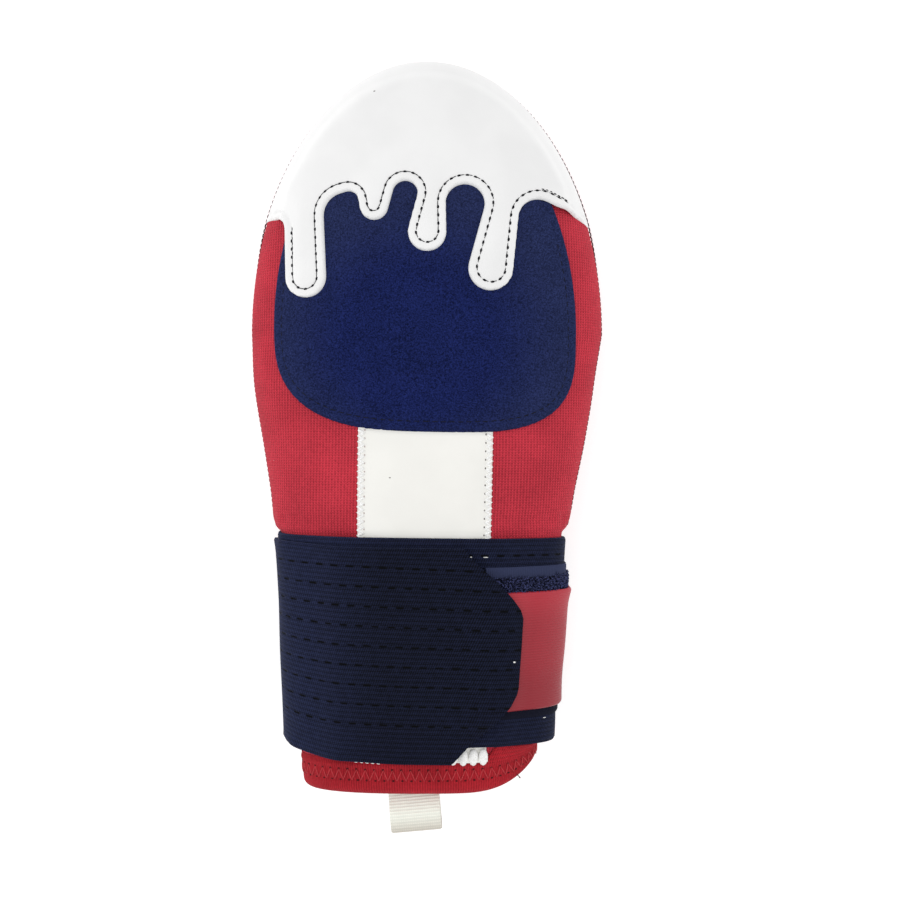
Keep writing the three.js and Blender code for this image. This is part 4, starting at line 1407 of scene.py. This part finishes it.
class MITT_OT_centre_strip(bpy.types.Operator):
    """White strip down the back with overlocked edges"""

    bl_idname = "mitt.centre_strip"
    bl_label = "Centre Strip"

    def execute(self, context):
        colours, sizes = context.scene.mitt_colours, context.scene.mitt_sizes
        hem_top = MOUTH_Y + HEM_DEPTH
        share = np.linspace(0, 1, 49)[None, :]
        down = np.linspace(0, 1, 170)[:, None]
        top_x = STRIP_LEFT[0] + (STRIP_RIGHT[0] - STRIP_LEFT[0]) * share
        low_x = STRIP_LEFT[1] + (STRIP_RIGHT[1] - STRIP_LEFT[1]) * share
        x = top_x + (low_x - top_x) * down
        top_y = pad_low_edge(top_x) + 1.2
        low = hem_top - STRIP_OVER_HEM[0] - (STRIP_OVER_HEM[1] - STRIP_OVER_HEM[0]) * smooth(x, 6, 14)
        y = top_y + (low - top_y) * down
        edge = np.minimum(share, 1 - share) * STRIP_WIDTH
        tuck = 0.85 * smooth(y, top_y - 2.6, top_y)
        roll = STRIP_THICK * np.sqrt(1 - (1 - np.clip(edge / 0.7, 0, 1)) ** 2)
        groove = 0.25 * np.exp(-(((edge - STRIP_GROOVE) / 0.5) ** 2))
        over_hem = (HEM_THICK + GAP) * (1 - smooth(y, hem_top, hem_top + 2.5))
        height = roll - groove + 0.18 * smooth(edge, 3, 9) - tuck
        bx, by = bare(x, y, STRIP_THICK / 2)[..., 0], y
        outer = back_point(bx, by, np.maximum(height, 0.15) + 0.1 + over_hem)
        inner = back_point(bx, by, 0.02 + over_hem)
        weave = np.stack(np.broadcast_arrays(x, y), -1)
        strip = slab("white_strip", outer, inner, weave)
        painted(strip, finish("white strip", hide_paint(tuple(colours.strip), 0.00016)))
        settle(strip, "white_strip", "centre_strip")
        declare_sheet(strip)
        self.edges(colours, sizes, bx, by)
        self.end(bx[-1, 32:-2], by[-1, 32:-2])
        self.left_corner(bx[-1, 1:10], by[-1, 1:10])
        return {"FINISHED"}

    def edges(self, colours, sizes, x, y):
        """Overlock thread over both long edges, and the row of needle holes beside each."""
        pale = finish("pale thread", yarn_paint(tuple(colours.pale_thread)))
        faint = finish("faint needle shadow", yarn_paint(linear(196, 184, 180)))
        dark = finish("needle shadow", yarn_paint(linear(120, 114, 112)))
        for side, column, inward, shadow in (("left", 0, 1, faint), ("right", -1, -1, dark)):
            px, py = x[3:-9, column] + inward * 1.5, y[3:-9, column]
            points, ups = back_point(px, py, STRIP_THICK + 0.02), back_normal(px, py, STRIP_THICK)
            sew(
                f"strip_overlock_{side}", "white_strip", points, ups, zigzag_tree,
                step=1.05 * MM, width=1.9 * MM, thread_radius=0.5 * MM, rise=0.05 * MM, thread=pale,
            )
            px = x[3:-9, column] + inward * 2.75
            points = back_point(px, py, STRIP_THICK - 0.08)
            sew(
                f"strip_holes_{side}", "white_strip", points, ups, bead_tree,
                pitch=sizes.stitch_pitch, length=0.8 * MM, width=0.6 * MM, height=0.24 * MM, bead=shadow,
            )

    def end(self, x, y):
        """Puffs of overlock thread along the strip's low end."""
        pale = bpy.data.materials["pale thread"]
        height = STRIP_THICK + HEM_THICK + GAP
        points, ups = back_point(x, y + 1.9, height - 0.3), back_normal(x, y, height)
        sew(
            "strip_end_puffs", "white_strip", points, ups, bead_tree,
            pitch=3.3 * MM, length=3.5 * MM, width=6.4 * MM, height=2.8 * MM, bead=pale,
        )

    def left_corner(self, x, y):
        """Thread of the strip's left corner, which peeps out under the strap."""
        height = HEM_THICK + GAP + 0.4
        low_y = y - 0.35 - 0.045 * (x - x[0])
        points, ups = back_point(x, low_y, height), back_normal(x, low_y, height)
        pale = bpy.data.materials["pale thread"]
        sew(
            "strip_corner_thread", "white_strip", points, ups, bead_tree,
            pitch=1.9 * MM, length=1.6 * MM, width=0.8 * MM, height=0.6 * MM, bead=pale,
        )


class MITT_OT_specks(bpy.types.Operator):
    """Specks of lint and dirt that cling to the fabrics"""

    bl_idname = "mitt.specks"
    bl_label = "Specks"

    def execute(self, context):
        dark = finish("dirt speck", yarn_paint(linear(70, 62, 60)))
        pale = finish("lint speck", yarn_paint(linear(240, 240, 236)))
        cap = CAP_THICK + PAD_HEIGHT + 0.5
        inner_turn = GAP + STRAP_THICK + 0.2
        over_strip_edge = inner_turn + STRIP_THICK + GAP
        outer_turn = inner_turn + STRAP_THICK + 3.7
        # Columns: name, paint, slot, place in the plan, height over the shell, length, width
        for name, paint, slot, (x, y), height, length, width in (
            ("cap_speck", dark, "white_cap", (-18.7, 127.3), cap, 0.6, 0.5),
            ("strip_speck", dark, "white_strip", (-12.7, -12.6), STRIP_THICK + 0.2, 0.45, 0.4),
            ("strap_lint_dot", pale, "navy_elastic", (31.6, -78.2), outer_turn, 0.7, 0.6),
            ("strap_lint_mid", pale, "navy_elastic", (16.1, -40.9), over_strip_edge, 0.6, 0.5),
            ("strap_lint_top", pale, "navy_elastic", (21.4, -41.0), over_strip_edge, 1.7, 0.3),
            ("strap_lint_low", pale, "navy_elastic", (43.2, -100.5), inner_turn, 1.2, 0.3),
        ):
            px, py = bare(np.array([x - 0.1, x, x + 0.1]), np.full(3, y), height).T
            points, ups = back_point(px, py, height), back_normal(px, py, height)
            sew(
                name, slot, points, ups, bead_tree,
                pitch=1.0 * MM, length=length * MM, width=width * MM, height=0.4 * MM, bead=paint,
            )
        return {"FINISHED"}


class MITT_OT_cuff_hem(bpy.types.Operator):
    """Red tape folded over the cuff's edge, sewn with a zigzag"""

    bl_idname = "mitt.cuff_hem"
    bl_label = "Cuff Hem"

    def execute(self, context):
        colours = context.scene.mitt_colours
        out = GAP + HEM_THICK
        middle = -SHELL_WALL / 2
        fold, outside_rows = self.fold(out, middle)
        count = 300
        angles = np.linspace(0, 2 * math.pi, count, endpoint=False)[:, None]
        along, offset = fold[None, :, 0], fold[None, :, 1]
        upper = smooth(along, HEM_STITCH_UP + 3, HEM_DEPTH) * (offset > middle)
        along = along + self.side_rise(angles, out) * upper
        face = (np.arange(len(fold)) < outside_rows)[None, :]
        pucker = 0.16 * np.sin(angles * 66) * np.exp(-(((along - 6.5) / 3.2) ** 2)) * face
        off_seam = np.abs(np.abs(along - HEM_STITCH_UP) - HEM_STITCH_WIDTH / 2)
        press = -0.25 * np.exp(-((off_seam / 0.8) ** 2)) * face
        points = skin(MOUTH_Y + along, angles, offset + pucker + press)
        weave = np.stack(np.broadcast_arrays(angles * 38, np.cumsum(np.ones(len(fold)))[None, :] * 0.8), -1)
        rows = points.reshape(-1, 3)
        faces = grid_faces(count, len(fold), ringed=True)
        last = (count - 1) * len(fold)
        index = np.arange(len(fold))
        after = np.roll(index, -1)
        closing = np.stack([last + index, last + after, after, index], -1)
        hem = mesh_object("red_hem", rows, np.concatenate([faces, closing]), weave.reshape(-1, 2))
        painted(hem, finish("hem tape", knit_paint(tuple(colours.tape), 0.8, 0.7)))
        settle(hem, "hem_tape", "cuff_hem")
        declare_sheet(hem)
        self.zigzag(colours, out)
        self.loose_end(out)
        return {"FINISHED"}

    def fold(self, out, middle):
        """The folded tape's section, as heights above the mouth and offsets, and its rows outside."""
        reach = out - middle
        turn = np.linspace(0, math.pi, 15)[1:-1]
        down = np.linspace(HEM_DEPTH, HEM_TURN_UP, 20)
        outside = np.stack([down, out - HEM_EDGE_THIN * smooth(down, HEM_DEPTH - 2, HEM_DEPTH)], -1)
        bend = np.stack([HEM_TURN_UP - HEM_TURN_OUT * np.sin(turn), middle + reach * np.cos(turn)], -1)
        inside = np.array([[a, middle - reach] for a in np.linspace(HEM_TURN_UP, HEM_DEPTH, 10)])
        under = inside[::-1] + (0, HEM_THICK)
        inner = reach - HEM_THICK
        hollow = np.stack([HEM_TURN_UP - HEM_TURN_IN * np.sin(turn), middle + inner * np.cos(turn)], -1)
        over = outside[::-1] * (1, 0) + (0, GAP / 2)
        return np.concatenate([outside, bend, inside, under, hollow[::-1], over]), len(outside)

    def side_rise(self, angles, out):
        """How much higher the tape reaches beside the strip's end, up to the strap."""
        x, y, _ = np.moveaxis(skin(MOUTH_Y + HEM_DEPTH, angles, out), -1, 0)
        beside = smooth(x, STRIP_RIGHT[1] + 0.2, STRIP_RIGHT[1] + 1.4) * (np.sin(angles) > 0)
        return np.maximum(0, HEM_SIDE_TOP - y) * beside

    def zigzag(self, colours, out):
        """Zigzag round the cuff between two rows of needle holes."""
        angles = np.linspace(0, 2 * math.pi, 700, endpoint=False)
        points = skin(MOUTH_Y + HEM_STITCH_UP, angles, out + 0.05)
        ups = unit(skin(MOUTH_Y + HEM_STITCH_UP, angles, out + 1.05) - points)
        red = finish("hem thread", yarn_paint(tuple(colours.red_thread)))
        dark = finish("hem needle shadow", yarn_paint(linear(84, 16, 22)))
        sew(
            "hem_zigzag", "hem_tape", points, ups, zigzag_tree, closed=True,
            step=HEM_PITCH / 2 * MM, width=HEM_STITCH_WIDTH * MM,
            thread_radius=0.17 * MM, rise=0.1 * MM, thread=red,
        )
        half = HEM_STITCH_WIDTH / 2 + 0.1
        for name, along in (("low", HEM_STITCH_UP - half), ("high", HEM_STITCH_UP + half)):
            row = skin(MOUTH_Y + along, angles, out - 0.2)
            sew(
                f"hem_holes_{name}", "hem_tape", row, ups, bead_tree, closed=True,
                pitch=HEM_PITCH * MM, length=0.9 * MM, width=0.8 * MM, height=0.4 * MM, bead=dark,
            )

    def loose_end(self, out):
        """Where the zigzag starts, a cut end of its thread stands off the tape."""
        x, y = np.linspace(33.3, 34.0, 5), np.linspace(-121.5, -122.4, 5)
        points, ups = back_point(*bare(x, y, out).T, out + 0.15), back_normal(x, y, out)
        sew(
            "hem_thread_end", "hem_tape", points, ups, bead_tree,
            pitch=1.0 * MM, length=1.3 * MM, width=0.45 * MM, height=0.45 * MM,
            bead=bpy.data.materials["hem needle shadow"],
        )


class MITT_OT_wrist_strap(bpy.types.Operator):
    """Elastic strap wound round the wrist"""

    bl_idname = "mitt.wrist_strap"
    bl_label = "Wrist Strap"

    def execute(self, context):
        colours, sizes = context.scene.mitt_colours, context.scene.mitt_sizes
        drop = np.linspace(0, STRAP_WIDTH, 84)
        cut = np.interp(drop, STRAP_END[:, 0], STRAP_END[:, 1])
        end = back_angle(across_at(cut, STRAP_END_OFFSET)) - 2 * math.pi
        settled = math.pi / 2 - 0.05 - 2 * math.pi
        plain = np.linspace(STRAP_START, settled, 300)
        last = np.linspace(0, 1, 34)[1:]
        angle = np.concatenate([
            np.repeat(plain[:, None], len(drop), 1),
            settled + (end[None, :] - settled) * last[:, None],
        ])
        reach = STRAP_START - (back_angle(across_at(STRAP_END_X)) - 2 * math.pi)
        base = strap_offset(angle, drop[None, :])
        x = skin(STRAP_MIDDLE_Y, angle, base)[..., 0]
        turned = STRAP_START - angle
        y = STRAP_TOP_Y - STRAP_DRIFT * turned / reach - drop[None, :]
        y = y + self.pull(x, drop[None, :]) * smooth(turned, 6.3, 6.9)
        y = y + self.lower_edge_rise(x, drop[None, :]) * (1 - smooth(turned, 4.6, 5.6))
        edge = np.minimum(drop, STRAP_WIDTH - drop)[None, :]
        inner_rows = 1.5 * (1 - smooth(turned, 6.0, 6.6))
        wavy = 0.3 * ripple(turned * 47, y, 11, 30) * smooth(turned, 6.6, 7.4)
        edge_wave = 0.35 * np.sin(turned * 14.0) * np.exp(-((edge / 3.0) ** 2)) * smooth(turned, 6.4, 7.0)
        lift = np.maximum(wavy + edge_wave, -0.12)
        full = STRAP_THICK - 0.5 * np.exp(-((edge / 0.6) ** 2))
        inner = band_point(y, angle, base + lift * 0.9)
        outer = band_point(y, angle, base + lift * 0.9 + full)
        length = lengths_along(inner)
        weave = np.stack(np.broadcast_arrays(length[:, None], drop[None, :] + inner_rows), -1).copy()
        tail = len(plain)
        weave[tail:, :, 0] = length[tail - 1] + (settled - angle[tail:]) * 52
        strap = slab("elastic_strap", outer, inner, weave)
        rib, slit_pitch, slit_rows = sizes.rib / MM, sizes.slit_pitch / MM, sizes.slit_rows / MM
        paint = elastic_paint(tuple(colours.elastic), rib, slit_pitch, slit_rows)
        painted(strap, finish("navy elastic", paint))
        settle(strap, "navy_elastic", "wrist_strap")
        declare_sheet(strap)
        return {"FINISHED"}

    def lower_edge_rise(self, x, drop):
        """How far the inner turn's lower edge lies up toward the hand, right of the middle."""
        return 1.1 * (drop / STRAP_WIDTH) ** 3 * smooth(x, -5, 20)

    def pull(self, x, drop):
        """How far the tightened band creeps up toward the left side of the wrist."""
        down = drop / STRAP_WIDTH
        rows = np.clip(0.95 - 0.031 * x, 0.2, 2.7)
        rim = 0.7 + 1.3 * smooth(-x, 25, 55)
        high = rim + (rows - rim) * smooth(drop, 0, 7)
        corner = np.clip((-x - 28) / 30, 0, 1.1) ** 2
        low = 5.2 * corner - 0.6 * smooth(x, -35, 0)
        return high * (1 - down) + low * down


def side_sheet(piece, under, rows, columns, lift):
    """Sheet wrapped round the right side of the wrist, on the strap's inner turn."""
    start = back_angle(across_at(piece["start_x"]))
    y = np.linspace(piece["low"], piece["top"], columns)[None, :]
    edge = np.minimum(y - piece["low"], piece["top"] - y)
    corner = piece.get("corner", 0)
    short = np.where(edge < corner, corner - np.sqrt(np.maximum(corner**2 - (corner - edge) ** 2, 0)), 0)
    end = piece["end"] + short / 24
    share = np.linspace(0, 1, rows)[:, None]
    angle = start + (end - start) * share
    base = under + over_strip(angle) + lift(share, y)
    rounded = piece["thick"] * (1 - 0.45 * np.exp(-((edge / 0.45) ** 2)))
    inner, outer = band_point(y, angle, base), band_point(y, angle, base + rounded)
    along = lengths_along(outer)
    left = along[-1] - along
    weave = np.stack(np.broadcast_arrays(left[:, None], y), -1)
    return outer, inner, weave


class MITT_OT_loop_patch(bpy.types.Operator):
    """Fastening pile with a woven selvage on the strap's inner turn"""

    bl_idname = "mitt.loop_patch"
    bl_label = "Fastening Pile"

    def execute(self, context):
        colours = context.scene.mitt_colours
        under = GAP + STRAP_THICK + 0.1
        outer, inner, weave = side_sheet(PATCH, under, 90, 80, lambda share, y: 0 * share * y)
        patch = slab("pile_patch", outer, inner, weave)
        selvage = tuple(colours.selvage)
        ground = tuple(colours.pile)

        def paint(board):
            u, v = board.weave()
            woven = v.step(PATCH["top"] - SELVAGE - 0.2, PATCH["top"] - SELVAGE + 0.2)
            rough = board.noise(1800, 4)
            ribs = u.wave(0.7) * 0.5 + 0.5
            edge = board.mix(ribs * 0.6 + rough * 0.4, shade(selvage, 0.8), shade(selvage, 1.1))
            # Painted shade: the backing between the loops is painted far darker than the pile
            shaded_backing = board.mix(rough, shade(ground, 0.15), shade(ground, 0.6))
            return {
                "Base Color": board.mix(woven, shaded_backing, edge),
                "Roughness": 0.85,
                "Specular IOR Level": 0.1,
                "Normal": board.bump(rough * (1 - woven) + ribs * woven * 0.3, 0.0004, 0.8),
            }

        painted(patch, finish("fastening pile", paint))
        settle(patch, "fastening_pile", "loop_patch")
        declare_sheet(patch)
        self.fibres(ground, patch)
        return {"FINISHED"}

    def fibres(self, ground, patch):
        """Loops of pile on the part that shows above the tab."""
        field = bpy.data.objects.new("pile field", patch.data.copy())
        bpy.context.scene.collection.objects.link(field)
        top = (PATCH["top"] - SELVAGE + SHIFT_Y) * MM
        low = (TAB["top"] - 3 + SHIFT_Y) * MM
        count = len(field.data.vertices)
        marks = np.zeros(count)
        marks[: count // 2] = 1
        places = np.empty(count * 3)
        field.data.vertices.foreach_get("co", places)
        y = places.reshape(-1, 3)[:, 1]
        mark = field.data.attributes.new("pile", "FLOAT", "POINT")
        mark.data.foreach_set("value", np.where((y < top) & (y > low), marks, 0))

        def paint(board):
            glints = board.noise(1400, 2).step(0.4, 0.62)
            return {
                "Base Color": board.mix(glints, shade(ground, 0.9), shade(ground, 5.5)),
                "Roughness": 0.7,
                "Specular IOR Level": 0.15,
            }

        fibre = finish("pile fibre", paint)
        pile = grow(
            "pile_loops", field, pile_tree, density=3.6e6, fibre_length=1.25 * MM,
            fibre_radius=0.13 * MM, seed=4, fibre=fibre,
        )
        settle(pile, "fastening_pile")


class MITT_OT_strap_tab(bpy.types.Operator):
    """Red rubber pull tab that comes out under the strap's end"""

    bl_idname = "mitt.strap_tab"
    bl_label = "Pull Tab"

    def execute(self, context):
        colours = context.scene.mitt_colours
        under = GAP + STRAP_THICK + PATCH["thick"] + 0.2

        def lift(share, y):
            near_top = np.exp(-(((TAB["top"] - y) / 4.0) ** 2))
            curl = 0.9 * near_top * smooth(share, 0.3, 0.6)
            return curl + 0.12 * ripple(share * 60, y, 8, 22)

        outer, inner, weave = side_sheet(TAB, under, 110, 80, lift)
        tab = slab("rubber_tab", outer, inner, weave)
        painted(tab, finish("red rubber", rubber_paint(tuple(colours.rubber), tuple(colours.rubber_edge_highlight))))
        settle(tab, "red_rubber", "strap_tab")
        declare_sheet(tab)
        return {"FINISHED"}


class MITT_OT_pull_loop(bpy.types.Operator):
    """White webbing loop at the cuff"""

    bl_idname = "mitt.pull_loop"
    bl_label = "Pull Loop"

    def execute(self, context):
        colours = context.scene.mitt_colours
        middle_z = LOOP_TOP_Z - LOOP_THICK - GAP / 2
        closed = (LOOP_THICK + GAP) / 2
        round_y = LOOP_END_Y + LOOP_RADIUS + LOOP_THICK / 2
        legs = np.linspace(LOOP_HELD_Y, round_y, 40)
        half_gap = closed + (LOOP_RADIUS - closed) * (1 - smooth(legs, LOOP_ROUND_Y, LOOP_LEAVE_Y))
        turn = math.pi / 2 + np.linspace(0, math.pi, 22)[1:-1]
        line = np.concatenate([
            np.stack([legs, middle_z + half_gap], -1),
            np.stack([round_y + LOOP_RADIUS * np.cos(turn), middle_z + LOOP_RADIUS * np.sin(turn)], -1),
            np.stack([legs, middle_z - half_gap], -1)[::-1],
        ])
        line = resampled(line, 0.45)
        along = np.gradient(line, axis=0)
        along /= np.linalg.norm(along, axis=1)[:, None]
        outward_side = np.stack([-along[:, 1], along[:, 0]], -1)
        share = np.linspace(-0.5, 0.5, 30)[None, :] * LOOP_WIDTH
        length = np.concatenate([[0], np.cumsum(np.linalg.norm(np.diff(line, axis=0), axis=1))])
        from_fold = length - length[-1] / 2

        def sheet(away):
            edge = LOOP_WIDTH / 2 - np.abs(share)
            thick = away * (1 - 0.4 * np.exp(-((edge / 0.5) ** 2)))
            y = line[:, 0][:, None] + outward_side[:, 0][:, None] * thick - MOUTH_Y
            z = line[:, 1][:, None] + outward_side[:, 1][:, None] * thick
            x = LOOP_X + share * math.cos(LOOP_YAW) - y * math.sin(LOOP_YAW)
            return np.stack([x, MOUTH_Y + share * math.sin(LOOP_YAW) + y * math.cos(LOOP_YAW), z], -1)

        weave = np.stack(np.broadcast_arrays(share, from_fold[:, None]), -1)
        loop = slab("webbing_loop", sheet(-LOOP_THICK / 2), sheet(LOOP_THICK / 2), weave)
        painted(loop, finish("webbing", webbing_paint(tuple(colours.webbing), tuple(colours.webbing_tip))))
        settle(loop, "webbing", "pull_loop")
        declare_sheet(loop)
        return {"FINISHED"}


class MITT_OT_stage(bpy.types.Operator):
    """Pale floor, soft light and the camera straight above"""

    bl_idname = "mitt.stage"
    bl_label = "Stage"

    def execute(self, context):
        stage = context.scene.mitt_stage
        floor_mesh = bpy.data.meshes.new("floor")
        corners = [(FLOOR_REACH * x, FLOOR_REACH * y, 0) for x, y in ((-1, -1), (1, -1), (1, 1), (-1, 1))]
        floor_mesh.from_pydata(corners, [], [(0, 1, 2, 3)])
        floor = bpy.data.objects.new("floor", floor_mesh)
        context.scene.collection.objects.link(floor)
        painted(floor, finish("floor", lambda board: {
            "Base Color": tuple(stage.floor),
            "Roughness": 0.9,
            "Emission Color": (1.0, 1.0, 1.0),
            "Emission Strength": FLOOR_GLOW,
        }))
        self.camera(context, stage.camera_height)
        for name, place, size, power in LIGHTS:
            self.area_light(name, place, size, getattr(stage, power))
        world = bpy.data.worlds.new("studio")
        world.use_nodes = True
        world.node_tree.nodes["Background"].inputs["Color"].default_value = (1, 1, 1, 1)
        world.node_tree.nodes["Background"].inputs["Strength"].default_value = stage.sky
        context.scene.world = world
        context.scene.view_settings.view_transform = "Standard"
        return {"FINISHED"}

    def camera(self, context, height):
        """Straight above, with the field of view that shows the photograph's part of the floor."""
        lens = bpy.data.cameras.new("camera")
        lens.sensor_width = 36
        lens.lens = lens.sensor_width / (FRAME_PIXELS * PIXEL_SCALE)
        lens.clip_start = 0.01
        seen = bpy.data.objects.new("camera", lens)
        seen.location = (VIEW_CENTRE[0] * MM, (VIEW_CENTRE[1] + SHIFT_Y) * MM, height)
        context.scene.collection.objects.link(seen)
        context.scene.camera = seen

    def area_light(self, name, place, size, power):
        """A square light that faces the origin."""
        light = bpy.data.lights.new(name, "AREA")
        light.shape = "SQUARE"
        light.size = size
        light.energy = power
        made = bpy.data.objects.new(name, light)
        made.location = place
        made.rotation_euler = (Vector((0, 0, 0)) - Vector(place)).to_track_quat("-Z", "Y").to_euler()
        bpy.context.scene.collection.objects.link(made)


PIECES = (
    MITT_OT_stage, MITT_OT_hand_panels, MITT_OT_back_pad, MITT_OT_tip_cap, MITT_OT_cap_stitches,
    MITT_OT_centre_strip, MITT_OT_specks, MITT_OT_cuff_hem, MITT_OT_wrist_strap, MITT_OT_loop_patch,
    MITT_OT_strap_tab, MITT_OT_pull_loop,
)


class MITT_PT_sidebar(bpy.types.Panel):
    bl_idname = "MITT_PT_sidebar"
    bl_label = "Sliding Mitt"
    bl_space_type = "VIEW_3D"
    bl_region_type = "UI"
    bl_category = "Sliding Mitt"

    def draw(self, context):
        layout = self.layout
        for piece in PIECES:
            layout.operator(piece.bl_idname)
        for group in (context.scene.mitt_sizes, context.scene.mitt_colours, context.scene.mitt_stage):
            for key in group.__annotations__:
                layout.prop(group, key)


CLASSES = (MittColours, MittSizes, MittStage, *PIECES, MITT_PT_sidebar)


def register():
    for item in CLASSES:
        bpy.utils.register_class(item)
    bpy.types.Scene.mitt_colours = bpy.props.PointerProperty(type=MittColours)
    bpy.types.Scene.mitt_sizes = bpy.props.PointerProperty(type=MittSizes)
    bpy.types.Scene.mitt_stage = bpy.props.PointerProperty(type=MittStage)


def unregister():
    del bpy.types.Scene.mitt_stage
    del bpy.types.Scene.mitt_sizes
    del bpy.types.Scene.mitt_colours
    for item in reversed(CLASSES):
        bpy.utils.unregister_class(item)


def main():
    register()
    for piece in PIECES:
        group, name = piece.bl_idname.split(".")
        getattr(getattr(bpy.ops, group), name)()


if __name__ == "__main__":
    main()
